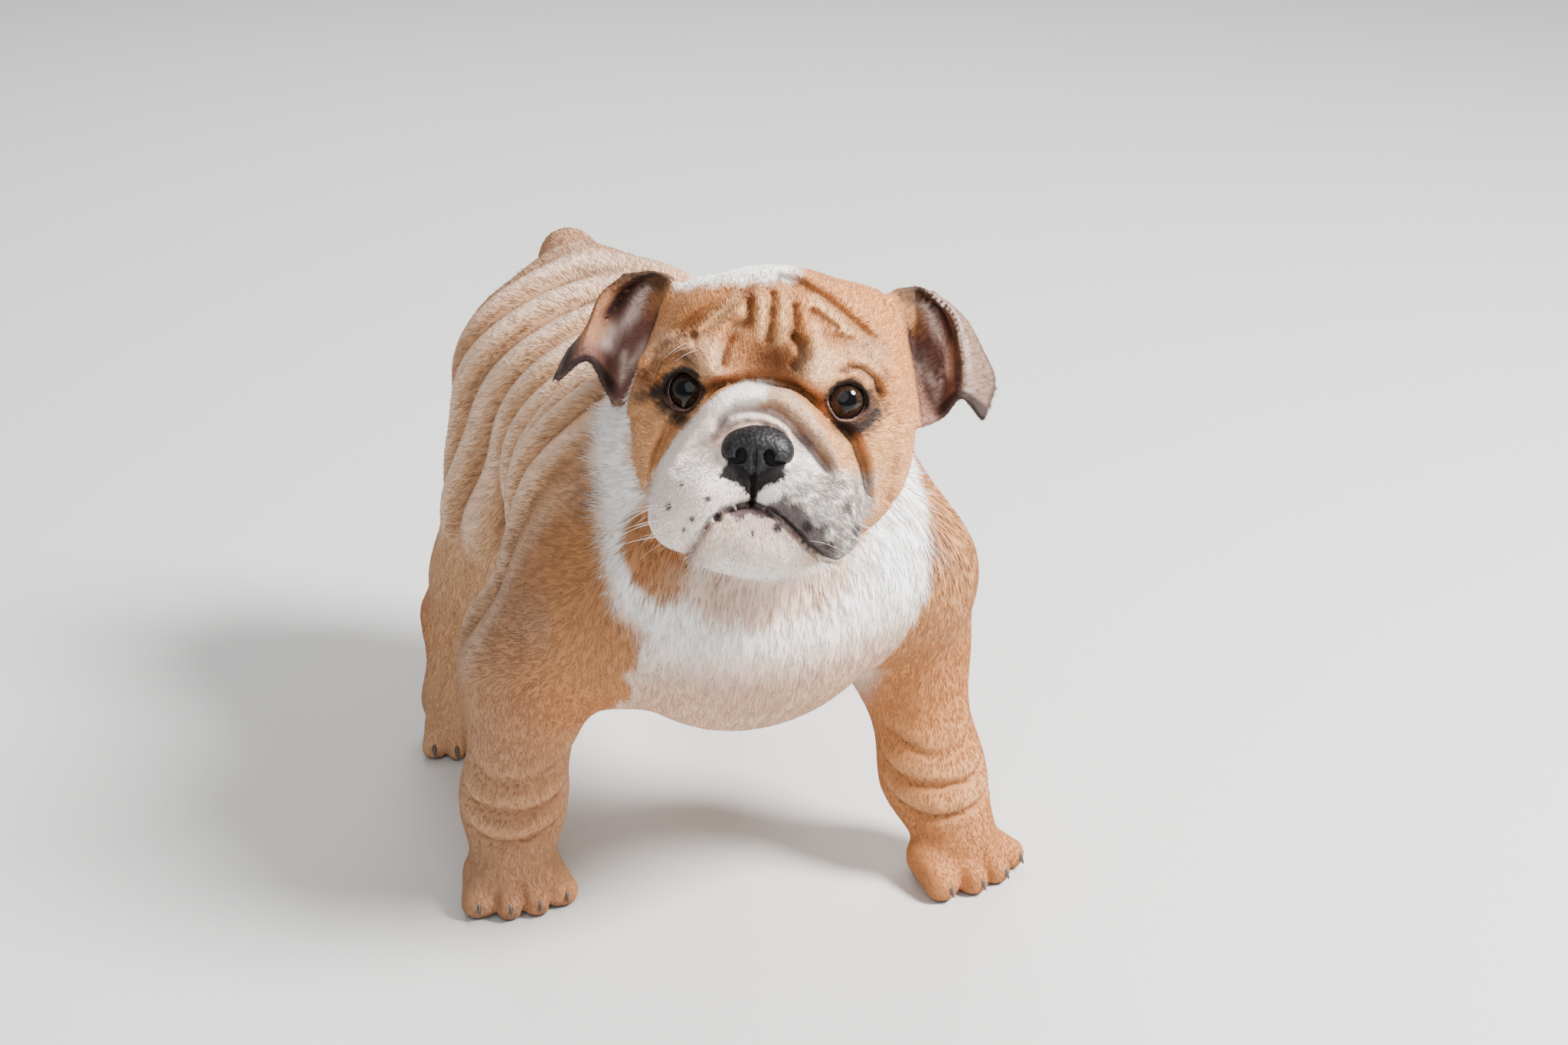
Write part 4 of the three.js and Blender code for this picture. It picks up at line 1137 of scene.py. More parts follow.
def lip_colour(p, colour, x, y, forward, rough):
    """The dark rim of the upper lip, the white chin with painted shade toward its sides, and the bare lower
    lip.
    """
    lip = line_distance(x, y, MOUTH)
    lip_above = y - on_line(x, MOUTH)
    ahead = smooth(-20, -12, forward)
    thick = np.where(x > 8, 1.9, 1.3)
    rim = smooth(thick + 1.5, thick - 0.5, lip + 0.7 * rough) * smooth(0, 1.5, lip_above) * ahead
    rim = np.where(x > 2, 0.9 * rim, 0.6 * rim * smooth(0.25, 0.5, speckle(p, 3, 4)))
    chin = smooth(1.5, 0, lip_above) * smooth(36, 28, np.abs(x - 6)) * ahead
    lower = smooth(-0.6, 0.6, on_line(x, LOWER_LIP) + lip_above + 2.4 * (speckle(p, 2, 18) - 0.5))
    lower = lower * chin * smooth(0.5, -0.5, lip_above)
    colour = mixed(colour, "white", chin)
    colour = mixed(colour, "pink", (0.5 + 0.5 * speckle(p, 4, 16)) * chin * smooth(-86, -56, y))
    # painted shade toward the chin's sides
    colour = mixed(colour, "fawn", 0.5 * chin * smooth(12, 30, np.abs(x - 4) + 4 * speckle(p, 5, 17)))
    colour = mixed(colour, "lip", 0.92 * lower)
    return mixed(colour, "dark", np.maximum(rim, spot(x, y, 0, -46.5, 2.0) * smooth(-20, -10, forward)))


def face_colour(p):
    """The face's markings, each placed as seen from in front."""
    x, y, forward = seen_place(p)
    rough = 1.6 * wobble(p, 3.2) + 0.9 * wobble(p, 1.5, 2)
    mottle = speckle(p, 4.2, 1) + 0.7 * speckle(p, 1.7, 2) + 0.5 * speckle(p, 0.9, 3)
    colour = brow_colour(p, x, y, forward, rough)
    colour = muzzle_colour(p, colour, x, y, forward, rough, mottle)
    colour = flew_colour(p, colour, x, y, forward, rough, mottle)
    colour = under_nose_colour(p, colour, x, y, forward)
    colour = lip_colour(p, colour, x, y, forward, rough)
    for cx, cy, radius in LIP_FLECKS:
        colour = mixed(colour, "slate", spot(x, y, cx, cy, radius) * smooth(-12, -4, forward))
    for cx, cy, radius in DARK_FLECKS:
        colour = mixed(colour, "dark", 0.8 * spot(x, y, cx, cy, radius) * smooth(-22, -14, forward))
    return colour


EYE_MARKS = [  # line as seen from in front, half width, darkness
    ([(-42, -2), (-47, -4)], 3.6, 1.0),
    ([(-46, -4), (-54, -7)], 2.8, 0.7),
    ([(-43.8, -8.6), (-39.8, -12.6), (-34, -14)], 3.1, 0.9),
    ([(-43.6, 2.4), (-39.8, 6.0), (-35, 7.6), (-29.8, 5.0)], 1.6, 1.0),
    ([(-28.6, 1.6), (-27.2, -2)], 1.3, 0.55),
    # painted shade beside the brow bulge over the dog's right eye
    ([(-34.4, 13), (-31.6, 7.9)], 2.6, 0.5),
    ([(28.2, 5.0), (31.8, 9.0), (37, 10.1), (42.1, 7.8), (44.6, 3.1)], 1.5, 1.0),
    ([(44.8, 5.6), (49.6, -1.6)], 2.8, 0.9),
    ([(33.6, -7.4), (39.2, -10), (45.2, -7), (48.2, -1.2)], 3.6, 1.0),
    ([(28.6, 0.2), (30.2, -3.4), (33.5, -6.2)], 1.1, 1.0),
    # the next two: painted shade in the creases over the eyes
    ([(31, 14.2), (38.4, 16.3), (44.1, 13.2), (48.9, 6.7), (53, -0.6)], 1.4, 0.6),
    ([(-50.6, -1.6), (-48.1, 6), (-43, 11.9), (-37, 14.5)], 1.4, 0.5),
]


def eye_colour(p, colour):
    """Black rims and the dark fur round the eyes, whose edges are streaked along the hair, with painted shade
    in the creases over the eyes and beside the right brow bulge.
    """
    x, y, forward = seen_place(p)
    away = np.stack([x, y + 25, np.zeros(len(p))], 1)
    far = np.linalg.norm(away, axis=1, keepdims=True)
    streak = speckle(away / far * 60 + far * np.array([0, 0, 0.22]), 1.0, 6)
    uneven = 2.2 * (0.7 * streak + 0.6 * speckle(p, 1.2, 7) - 0.65)
    dark = np.zeros(len(p))
    for line, half, share in EYE_MARKS:
        reach = line_distance(x, y, line) + uneven * min(half / 2.0, 1)
        dark = np.maximum(dark, share * smooth(1.75 * half, 0.3 * half, reach))
    dark = dark * smooth(-50, -40, forward)
    for side in SIDES:
        gap, reach = almond(p, side)
        dark = np.maximum(dark, smooth(2.4, 0.9, gap + 0.4 * uneven) * smooth(22, 17, reach))
    colour = mixed(colour, "dark", 0.97 * dark)
    for side in SIDES:
        centre, _, up, _ = EYE_FRAMES[side]
        gap, reach = almond(p, side)
        wet = smooth(0.7, 0.1, np.abs(gap + 0.1)) * smooth(0, -4, (p - centre) @ up) * smooth(16, 14.5, reach)
        colour = mixed(colour, "rose", 0.7 * wet)
    return colour


EAR_RIMS = {-1: 0.075, 1: 0.045}  # half width of the dark band, as a share of the rows


def ear_rim(down, along, side):
    """How dark the ear is at its edges: on the band before the flap, at the top fold, at the lobe and, on the
    dog's left, at the flap's tip."""
    band = np.exp(-(((along - EAR_BAND[side]) / EAR_RIMS[side]) ** 2)) * smooth(1.02, 0.96, down)
    rims = [
        band,
        0.8 * smooth(0.09, 0.03, down) * smooth(0.05, 0.2, along) * smooth(0.8, 0.7, along),
        0.95 * smooth(0.9, 0.95, down) * smooth(0.35, 0.55, along),
        0.8 * smooth(0.3, 0.08, down) * smooth(0.5, 0.3, along) * smooth(0.08, 0.18, along),
    ]
    if side > 0:
        rims.append(0.6 * smooth(0.965, 0.995, along))
    return np.max(rims, axis=0)


def ear_colour(p, colour):
    """The ears: grey-tan outside, brown within, with a pale ridge, painted shade in the hollows and under the
    top fold, painted highlight on the flap beside its dark band, and dark edges.
    """
    for side in SIDES:
        close = near_ear(p, side)
        if not len(close):
            continue
        q = p[close]
        reach, down, along, height = ear_place(q, side)
        ridge, hollow = ear_marks(down, along)
        on = smooth(4.2, 3.2, reach) * smooth(0.02, 0.12, along)
        flap = smooth(EAR_BAND[side], EAR_BAND[side] + 0.05, along)
        inner = smooth(0.4, -0.4, height) * (1 - flap)
        outside, inside = on * (1 - inner), on * inner
        streaked = along + 0.06 * speckle(q, 1.5, 4)
        front = np.maximum(smooth(0.2, 0.02, down), smooth(0.46, 0.2, streaked) * smooth(0.5, 0.4, down))
        # painted shade in the hollows and under the top fold
        shade = np.maximum(hollow, 0.75 * smooth(0.34, 0.1, down) * smooth(0.25, 0.5, along))
        bare = smooth(0.9, 0.8, along + 0.06 * speckle(q, 2, 22))
        here = colour[close]
        here = mixed(here, "tan", outside)
        here = mixed(here, "flap", outside * (0.35 + 0.65 * flap))
        # painted highlight on the flap beside its dark band
        here = mixed(here, "shell", 0.45 * outside * flap * bare)
        here = mixed(here, "conch", inside)
        here = mixed(here, "tan", inside * front * 0.9)
        here = mixed(here, "tan", 0.6 * inside * smooth(0.58, 0.68, along) * smooth(0.85, 0.6, down))
        here = mixed(here, "shell", inside * np.minimum(1.3 * ridge, 1))
        here = mixed(here, "hollow", inside * shade)
        here = mixed(here, "flap", 0.5 * inside * speckle(q, 2.6, 5) * smooth(0.4, 0.7, down))
        colour[close] = mixed(here, "dark", 0.92 * on * ear_rim(down, along, side))
    return colour


def colour_at(p):
    """The coat's colour at each point, for skin and tufts alike."""
    head = head_weight(p)
    colour = body_colour(p)
    near = np.flatnonzero(head > 0)
    face = eye_colour(p[near], face_colour(p[near]))
    _, forward, up = head_place(p[near])
    face = mixed(face, "white", 0.9 * smooth(-60, -72, up) * smooth(-4, -14, forward))
    colour[near] += (face - colour[near]) * head[near][:, None]
    return ear_colour(p, colour)


# Shader nodes from Python expressions
class Wire:
    """A socket's value: arithmetic on it adds Math nodes."""

    def __init__(self, graph, socket):
        self.graph, self.socket = graph, socket

    def _math(self, operation, *values):
        return self.graph.node("ShaderNodeMath", {"operation": operation}, dict(enumerate(values)))

    def __add__(self, other):
        return self._math("ADD", self, other)

    def __sub__(self, other):
        return self._math("SUBTRACT", self, other)

    def __mul__(self, other):
        return self._math("MULTIPLY", self, other)

    def __radd__(self, other):
        return self._math("ADD", other, self)

    def __rsub__(self, other):
        return self._math("SUBTRACT", other, self)

    def __rmul__(self, other):
        return self._math("MULTIPLY", other, self)

    def between(self, low, high):
        """0 below low, 1 above high, smooth between."""
        settings = {"interpolation_type": "SMOOTHSTEP"}
        return self.graph.node("ShaderNodeMapRange", settings, {0: self, 1: low, 2: high})


class Graph:
    """A material and its nodes."""

    def __init__(self, name, **sockets):
        self.material = bpy.data.materials.new(name)
        self.material.use_nodes = True
        self.nodes = self.material.node_tree.nodes
        self.surface = self.nodes["Principled BSDF"]
        for key, value in sockets.items():
            self.surface.inputs[key.replace("_", " ")].default_value = value

    def node(self, kind, settings=None, inputs=None, output=0):
        """A node of a type: its settings are set first, then its sockets' values or links."""
        made = self.nodes.new(kind)
        for key, value in (settings or {}).items():
            setattr(made, key, value)
        for key, value in (inputs or {}).items():
            if isinstance(value, Wire):
                self.material.node_tree.links.new(value.socket, made.inputs[key])
            else:
                made.inputs[key].default_value = value
        return Wire(self, made.outputs[output])

    def attribute(self, name, output="Color"):
        """Values kept on the mesh's points."""
        return self.node("ShaderNodeAttribute", {"attribute_name": name}, output=output)

    def place(self):
        """Object coordinates."""
        return self.node("ShaderNodeTexCoord", output="Object")

    def noise(self, scale, detail=3.0, where=None):
        """Noise in object coordinates, or in the space of another wire."""
        values = {"Vector": where or self.place(), "Scale": scale, "Detail": detail}
        return self.node("ShaderNodeTexNoise", {}, values)

    def mix(self, factor, first, second, blend="MIX"):
        """Two colours mixed by a factor."""
        settings = {"data_type": "RGBA", "blend_type": blend}
        return self.node("ShaderNodeMix", settings, {0: factor, 6: first, 7: second}, output=2)

    def tinged(self, colour, red, green, blue):
        """A colour with each of its channels multiplied by a wire."""
        factors = self.node("ShaderNodeCombineColor", {}, {0: red, 1: green, 2: blue})
        return self.mix(1.0, colour, factors, "MULTIPLY")

    def bump(self, height, strength, distance):
        """The surface's normal, turned by the slopes of a height."""
        return self.node("ShaderNodeBump", {}, {"Strength": strength, "Distance": distance, "Height": height})

    def feed(self, **sockets):
        """Links wires to the surface's sockets and returns the material."""
        for key, wire in sockets.items():
            self.material.node_tree.links.new(wire.socket, self.surface.inputs[key.replace("_", " ")])
        return self.material


# Sizes and colours that a user would change
class BulldogSettings(bpy.types.PropertyGroup):
    """Sizes and colours of the puppy."""

    skin_step: bpy.props.FloatProperty(
        name="Skin step", description="Width of the skin's triangles on the body", default=0.0034,
        min=0.0024, max=0.008, unit="LENGTH")
    head_step: bpy.props.FloatProperty(
        name="Head step", description="Width of the skin's triangles where the head is", default=0.0026,
        min=0.002, max=0.006, unit="LENGTH")
    tufts: bpy.props.IntProperty(
        name="Tufts", description="Tufts in the whole coat", default=212000, min=1000, max=230000)
    body_hair: bpy.props.FloatProperty(
        name="Body hair", description="Length of the tufts on the trunk", default=0.0052,
        min=0.002, max=0.03, unit="LENGTH")
    face_hair: bpy.props.FloatProperty(
        name="Face hair", description="Length of the tufts on the face", default=0.0036,
        min=0.001, max=0.015, unit="LENGTH")
    collar_hair: bpy.props.FloatProperty(
        name="Collar hair", description="Length of the tufts on the neck and chest", default=0.0085,
        min=0.002, max=0.04, unit="LENGTH")
    lift: bpy.props.FloatProperty(
        name="Lift", description="Angle of the tufts over the skin", default=math.radians(5),
        min=0.0, max=1.2, subtype="ANGLE")
    iris: bpy.props.FloatVectorProperty(
        name="Iris", description="Colour of the iris", default=srgb(50, 36, 26), size=3, min=0, max=1,
        subtype="COLOR")
    leather: bpy.props.FloatVectorProperty(
        name="Nose", description="Colour of the nose leather", default=srgb(15, 14, 16), size=3, min=0, max=1,
        subtype="COLOR")
    horn: bpy.props.FloatVectorProperty(
        name="Claws", description="Colour of the claws", default=srgb(52, 42, 38), size=3, min=0, max=1,
        subtype="COLOR")
    floor: bpy.props.FloatVectorProperty(
        name="Floor", description="Colour of the floor", default=(0.62, 0.61, 0.59), size=3, min=0, max=1,
        subtype="COLOR")


FLESH = ["head", "chin", "neck", "chest", "barrel", "rump", "tail"]
for part in ("forearm", "forepaw", "thigh", "hock", "hindpaw", "ear"):
    FLESH += [f"{part}_right", f"{part}_left"]
made = {}  # arrays that one operator leaves for the next


STRAND_WIDE, STRAND_LONG = 0.85, 8.0
HEAD_ROUND, TRUNK_ROUND, LEG_ROUND = 75.0, 75.0, 24.0  # radius at which a turn counts as a width
TRUNK_LEAN = 0.38  # how far hair on the trunk sinks toward the belly for each step back


def round_line(turn, along, radius):
    """The strands' space round a line: the turn on a circle of a radius, and the way along the line."""
    wide = radius / STRAND_WIDE
    return np.stack([wide * np.sin(turn), along / STRAND_LONG, wide * np.cos(turn)], 1)


def strand_places(p):
    """Places in spaces where the hair is pulled short, across it in units of a strand's width and along it in
    units of its length: the head, where hair runs out from the nose, the trunk, the chest and the legs, with
    the share of each."""
    left, forward, up = head_place(p)
    x, y, z = p.T
    away = np.stack([left, forward - 32, up + 22], 1)
    far = np.linalg.norm(away, axis=1)[:, None]
    head, leg = head_weight(p), leg_share(z)
    chest = chest_share(y, z) * (1 - leg)
    on_trunk = np.arctan2(x - 3, z - 180)
    on_trunk = on_trunk - TRUNK_LEAN * (y - 100) * np.sin(on_trunk) / TRUNK_ROUND
    fore = y < 110
    leg_x = np.where(x < 0, -1, 1) * np.where(fore, 98, 70)
    leg_y = np.where(fore, np.where(x < 0, WRIST_AXES[-1][1], WRIST_AXES[1][1]), 208)
    on_leg = np.arctan2(x - leg_x, leg_y - y)
    return [
        (away / far * (HEAD_ROUND / STRAND_WIDE + far / STRAND_LONG), head),
        (round_line(on_trunk, y, TRUNK_ROUND), (1 - head) * (1 - leg - chest)),
        (np.stack([x / STRAND_WIDE, 0 * y, z / STRAND_LONG], 1), (1 - head) * chest),
        (round_line(on_leg, z, LEG_ROUND), (1 - head) * leg),
    ]


STRAND_TINGES = ((0.17, 0.12), (0.2, 0.15), (0.24, 0.19))  # each channel: the painted highlight that strands add and the painted shade that gaps take


def skin_material(spaces):
    """Fur seen from afar: the markings, streaked and ridged by strands in each of the strands' spaces, with
    painted highlight on the strands and painted shade in the gaps between them.
    """
    graph = Graph("skin", Specular_IOR_Level=0.25)
    hair = 0.0
    for n in range(spaces):
        where = graph.attribute(f"strand_{n}", "Vector")
        hair = hair + graph.attribute(f"share_{n}", "Fac") * graph.noise(1.0, 2.0, where)
    tone = hair.between(0.34, 0.66)
    much = 0.5 + 2.1 * graph.attribute("share_0", "Fac")
    # painted highlight on the strands and painted shade in the gaps, stronger on the head
    tinges = [1 + (more * tone - less) * much for more, less in STRAND_TINGES]
    shade = graph.tinged(graph.attribute("tint"), *tinges)
    return graph.feed(Base_Color=shade, Normal=graph.bump(hair, 0.14, 0.0005), Roughness=0.62 + 0.2 * tone)


class BULLDOG_OT_skin(bpy.types.Operator):
    """One skin over all the flesh, with the folds, the lids and the ears"""

    bl_idname = "bulldog.skin"
    bl_label = "Skin"

    def execute(self, context):
        settings = context.scene.bulldog
        step, head_step = settings.skin_step * 1000, settings.head_step * 1000
        points, triangles = skin_mesh(step, head_step)
        made["points"], made["triangles"] = points, triangles
        kept = {"tint": colour_at(points)}
        places = strand_places(points)
        for n, (strand, share) in enumerate(places):
            kept[f"strand_{n}"], kept[f"share_{n}"] = strand, share
        skin = mesh_piece("skin", points, triangles, skin_material(len(places)), kept)
        made["uv"] = unwrapped(skin)
        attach(skin, "root")
        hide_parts(*FLESH)
        return {"FINISHED"}


COARSE = 99  # a width that no triangle reaches
FOOT_TOP = 34


def wanted_width(p, step, head_step, first):
    """The width that the skin's triangles should have at each place, least at the eyes and the mouth; the
    head and the feet count in the first round only."""
    front = np.where(front_nearness(p) > 0.5, head_step * 0.55, COARSE)
    fine = np.where(face_nearness(p) > 0.5, head_step * 0.36, COARSE)
    if not first:
        return np.minimum(front, fine)
    head = np.where(head_nearness(p) > 0.5, head_step * 0.78, COARSE)
    foot = np.where(p[:, 2] < FOOT_TOP, step * 0.62, COARSE)
    return np.minimum(np.minimum(head, front), np.minimum(foot, fine))


def skin_mesh(step, head_step):
    """The skin's points and triangles: a net over a grid that is closer at the head, refined and evened."""

    def axis(low, high, fine_low, fine_high):
        parts = [np.arange(low, fine_low, step), np.arange(fine_low, fine_high, head_step)]
        return np.concatenate([*parts, np.arange(fine_high, high + step, step)])

    grids = [axis(-136, 146, -98, 106), axis(-116, 276, -112, 30), axis(-4.3, 328, 190, 326)]
    values = sampled(lambda p: skin_form(p, EAR_SPARE), grids)
    points, triangles = surface_nets(values, grids)
    points = drawn_onto(skin_form, points, 2, 0.8)
    for first in ((True, False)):
        wanted = partial(wanted_width, step=step, head_step=head_step, first=first)
        points, triangles = refined(points, triangles, wanted)
        for _ in range(2):
            points = evened(points, triangles, 0.5)
            points = drawn_onto(skin_form, points, 1, 0.5)
    return drawn_onto(skin_form, points, 2, 0.3), triangles


def unwrapped(skin):
    """The skin's own unwrap, as a map on its corners: a flat patch for each run of faces that turn little."""
    bpy.context.view_layer.objects.active = skin
    skin.select_set(True)
    skin.data.uv_layers.new(name="OFBake")
    bpy.ops.object.mode_set(mode="EDIT")
    bpy.ops.mesh.select_all(action="SELECT")
    bpy.ops.uv.smart_project(angle_limit=math.radians(66), island_margin=0.002)
    bpy.ops.object.mode_set(mode="OBJECT")
    uv = np.empty(len(skin.data.loops) * 2, np.float32)
    skin.data.uv_layers["OFBake"].uv.foreach_get("vector", uv)
    return uv.reshape(-1, 3, 2)


# The coat
def coat_lie(p, normal):
    """The way the hair lies at each point: back along the trunk, down the legs, out from the nose on the face
    and toward the tip on the ears, flattened onto the skin."""
    _, y, z = p.T
    leg, chest = leg_share(z)[:, None], chest_share(y, z)[:, None]
    paw = smooth(FOOT_TOP, 16, z)[:, None]
    back, down = np.array([0.0, 1.0, -TRUNK_LEAN]), np.array([0.0, 0.22, -1.0])
    lie = back * (1 - chest) * (1 - leg) + down * np.maximum(chest, leg)
    lie = lie + np.array([0.0, -1.6, -0.3]) * paw
    head = head_weight(p)[:, None]
    left, forward, up = head_place(p)
    away = np.stack([left, -(forward - 32) * 1.1, up + 22], 1)
    away[:, 2] += 10 * smooth(-5, 10, up) - 12 * smooth(-30, -60, up)
    away = unit(away) @ HEAD_AXES.T
    lie = lie * (1 - head) + away * head
    for side in SIDES:
        close = near_ear(p, side)
        if len(close):
            _, slope_down, slope_along, _ = EARS[side]
            reach, down_share, along, _ = ear_place(p[close], side)
            i = np.clip((down_share * (EAR_GRID - 1)).astype(int), 0, EAR_GRID - 1)
            j = np.clip((along * (EAR_GRID - 1)).astype(int), 0, EAR_GRID - 1)
            toward = unit(slope_along[i, j]) + 0.5 * unit(slope_down[i, j])
            on = (smooth(5, 3.4, reach) * smooth(0.0, 0.15, along))[:, None]
            lie[close] = lie[close] * (1 - on) + toward * on
    lie -= (lie * normal).sum(1, keepdims=True) * normal
    return unit(lie)


EAR_HAIR = 3.4  # length of the hair on the ears


def coat_sizes(p, settings):
    """Length, width and lift of the hair at each point, and how bare the skin is."""
    _, y, z = p.T
    left, forward, up = head_place(p)
    head = head_weight(p)
    nose = np.sqrt(left**2 + (forward - 20) ** 2 + (up + 30) ** 2)
    face = settings.face_hair * 1000 * (0.6 + 0.55 * smooth(22, 75, nose))
    body = np.full(len(p), settings.body_hair * 1000)
    body = body * (1 - 0.3 * smooth(130, 90, z)) * (1 - 0.35 * smooth(45, 20, z))
    collar = smooth(-14, 2, collar_edge(z) - y) * smooth(120, 150, z)
    body = body + (settings.collar_hair * 1000 - body) * collar
    length = body * (1 - head) + face * head
    lift = settings.lift * (0.6 + 0.8 * collar) * (1 - head) + settings.lift * head
    ear, bare = np.zeros(len(p)), np.zeros(len(p))
    for side in SIDES:
        close = near_ear(p, side)
        if len(close):
            reach, _, along, height = ear_place(p[close], side)
            ear[close] = smooth(4.4, 3.4, reach) * smooth(0.05, 0.2, along)
            bare[close] = ear[close] * smooth(0.3, -0.3, height)
    length = length * (1 - ear) + EAR_HAIR * ear
    for side in SIDES:
        gap, reach = almond(p, side)
        length = length * (1 - 0.6 * smooth(6, 1, gap) * smooth(24, 18, reach))
        bare = np.maximum(bare, smooth(2.2, 0.6, gap) * smooth(20, 16, reach))
    return length, 0.12 + 0.042 * length, lift, bare


TUFT_FACES = np.array([(0, 1, 2), (0, 2, 3), (0, 3, 1), (4, 2, 1), (4, 3, 2), (4, 1, 3)])


def tuft_mesh(root, lie, normal, length, width, lift, bend, curve):
    """Each tuft is a spindle of five points: its root in the skin, a flat triangle at its thickest and its
    tip, about root + lie * s + normal * (s * tan(lift) - curve * s^2 / 2) for the way s along it."""
    across = np.cross(normal, lie)
    side = lie + across * bend[:, None]
    reach = length[:, None]
    rise = np.tan(lift)[:, None]
    wide = across * width[:, None] * 0.5
    w = width[:, None]
    start = root - normal * 0.25 - lie * 0.1 * reach
    sink = 0.5 * curve[:, None] * reach**2
    middle = root + lie * 0.42 * reach + normal * (0.42 * reach * rise + 0.16 - 0.18 * sink)
    tip = root + side * reach + normal * (reach * rise * 0.8 + 0.1 - sink)
    low, high = normal * w * 0.18, normal * w * 0.16
    points = np.stack([start, middle + wide - low, middle - wide - low, middle + high, tip], 1)
    index = TUFT_FACES[None] + 5 * np.arange(len(root))[:, None, None]
    return points.reshape(-1, 3), index.reshape(-1, 3)


def tuft_density(middle, area, settings):
    """How many tufts each triangle wants: its area over one tuft's, fewer where the skin is bare, and none
    under the nose leather, between the lids or on the floor."""
    length, width, _, bare = coat_sizes(middle, settings)
    want = area / (length * width) * (1 - 0.93 * bare) * smooth(0.6, 1.4, middle[:, 2])
    nose = np.linalg.norm((middle - on_head(2, 25, -23)) @ HEAD_AXES / np.array([15.6, 11.5, 11.2]), axis=1)
    want = want * smooth(0.98, 1.06, nose)
    for side in SIDES:
        gap, reach = almond(middle, side)
        want = want * np.where(reach < EYE_RADIUS + 0.9, smooth(-0.2, 0.8, gap), 1)
    return want


def skin_curve(corner, turn, lie):
    """How fast the skin turns away under each tuft: its corners' normals give the change of the normal along
    the way the hair lies, by the two edges' shares in that way."""
    edges, turns = corner[:, 1:] - corner[:, :1], turn[:, 1:] - turn[:, :1]
    gram = np.einsum("ijk,ilk->ijl", edges, edges) + 1e-6 * np.eye(2)
    shares = np.linalg.solve(gram, np.einsum("ijk,ik->ij", edges, lie)[..., None])[..., 0]
    return np.clip((np.einsum("ij,ijk->ik", shares, turns) * lie).sum(1), -0.12, 0.16)


TUFT_SHADES = np.array([0.9, 0.98, 0.98, 1.01, 1.05])  # brightness at the five points, root to tip


def tuft_colour(root, rng):
    """The markings at each tuft's root, brighter or darker by chance and, as painted highlight and painted
    shade, by strands, for its five points.
    """
    count, colour = len(root), colour_at(root)
    places = strand_places(root)
    # painted highlight and painted shade along the strands
    streak = sum(share * speckle(strand, 1.0, 11) for strand, share in places)[:, None] - 0.5
    much = 0.1 + 0.5 * places[0][1][:, None]
    bright = 0.97 + much * streak + rng.normal(0, 0.03, (count, 1)) + rng.normal(0, 0.01, (count, 3))
    colour = np.clip(colour * bright ** np.array([0.9, 1.1, 1.3]), 0.004, 1)
    return np.clip(colour[:, None] * TUFT_SHADES[None, :, None], 0, 1)


def coat_material():
    """Hair in the markings' colours, with a fine unevenness."""
    graph = Graph("coat", Roughness=0.62, Specular_IOR_Level=0.3)
    grain = 0.9 + 0.2 * graph.noise(1500.0, 1.0)
    return graph.feed(Base_Color=graph.tinged(graph.attribute("tint"), grain, grain, grain))


COAT_PIECES = 8
TUFT_PATCH = 0.0015 * np.array([(0, -1), (-0.6, 0), (0.6, 0), (0, 0.2), (0, 1)])  # a tuft's points on the map
LOWEST_TUFT = 0.15


class BULLDOG_OT_coat(bpy.types.Operator):
    """Solid tufts over the skin, in pieces from head to tail"""

    bl_idname = "bulldog.coat"
    bl_label = "Coat"

    def execute(self, context):
        settings = context.scene.bulldog
        rng = np.random.default_rng(41)
        points, triangles, uv = made["points"], made["triangles"], made["uv"]
        a, b, c = (points[triangles[:, k]] for k in range(3))
        area = np.linalg.norm(np.cross(b - a, c - a), axis=1) / 2
        want = tuft_density((a + b + c) / 3, area, settings)
        count = settings.tufts // 1
        chosen = np.sort(rng.choice(len(triangles), count, p=want / want.sum()))
        u, v = rng.random(count), rng.random(count)
        over = u + v > 1
        u[over], v[over] = 1 - u[over], 1 - v[over]
        weight = np.stack([1 - u - v, u, v], 1)[..., None]
        corner, turn = points[triangles[chosen]], point_normals(points, triangles)[triangles[chosen]]
        root, normal = (corner * weight).sum(1), unit((turn * weight).sum(1))
        on_map = (uv[chosen] * weight).sum(1)
        lie = coat_lie(root, normal)
        lie = unit(lie + np.cross(normal, lie) * rng.normal(0, 0.1, (count, 1)))
        length, width, lift, _ = coat_sizes(root, settings)
        length = length * rng.uniform(0.7, 1.2, count)
        width = width * rng.uniform(0.75, 1.3, count) * 1.0
        lift = lift * rng.uniform(0.8, 1.3, count)
        bend = rng.normal(0, 0.12, count)
        tufts = (root, lie, normal, length, width, lift, bend, skin_curve(corner, turn, lie))
        tint = tuft_colour(root, rng)
        material = coat_material()
        order = np.argsort(root[:, 1], kind="stable")
        for k, group in enumerate(np.array_split(order, COAT_PIECES)):
            p, f = tuft_mesh(*(values[group] for values in tufts))
            p[:, 2] = np.maximum(p[:, 2], LOWEST_TUFT)
            kept = {"tint": tint[group].reshape(-1, 3)}
            spread = (on_map[group][:, None] + TUFT_PATCH[None]).reshape(-1, 2)[f.ravel()]
            piece = mesh_piece(f"coat_{k + 1}", p, f, material, kept, spread)
            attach(piece, "root")
            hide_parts("barrel")
        return {"FINISHED"}


# Eyes
def ring_faces(rings, spokes):
    """Faces of a closed skin over rings of points with one point before the first and one after the last."""
    k = np.arange(spokes)
    after = (k + 1) % spokes
    faces = [np.stack([np.zeros(spokes, int), 1 + k, 1 + after], 1)]
    for n in range(rings - 1):
        low, high = 1 + n * spokes, 1 + (n + 1) * spokes
        faces.append(np.stack([low + k, high + k, high + after], 1))
        faces.append(np.stack([low + k, high + after, low + after], 1))
    last = 1 + (rings - 1) * spokes
    faces.append(np.stack([last + k, np.full(spokes, last + spokes), last + after], 1))
    return np.concatenate(faces)


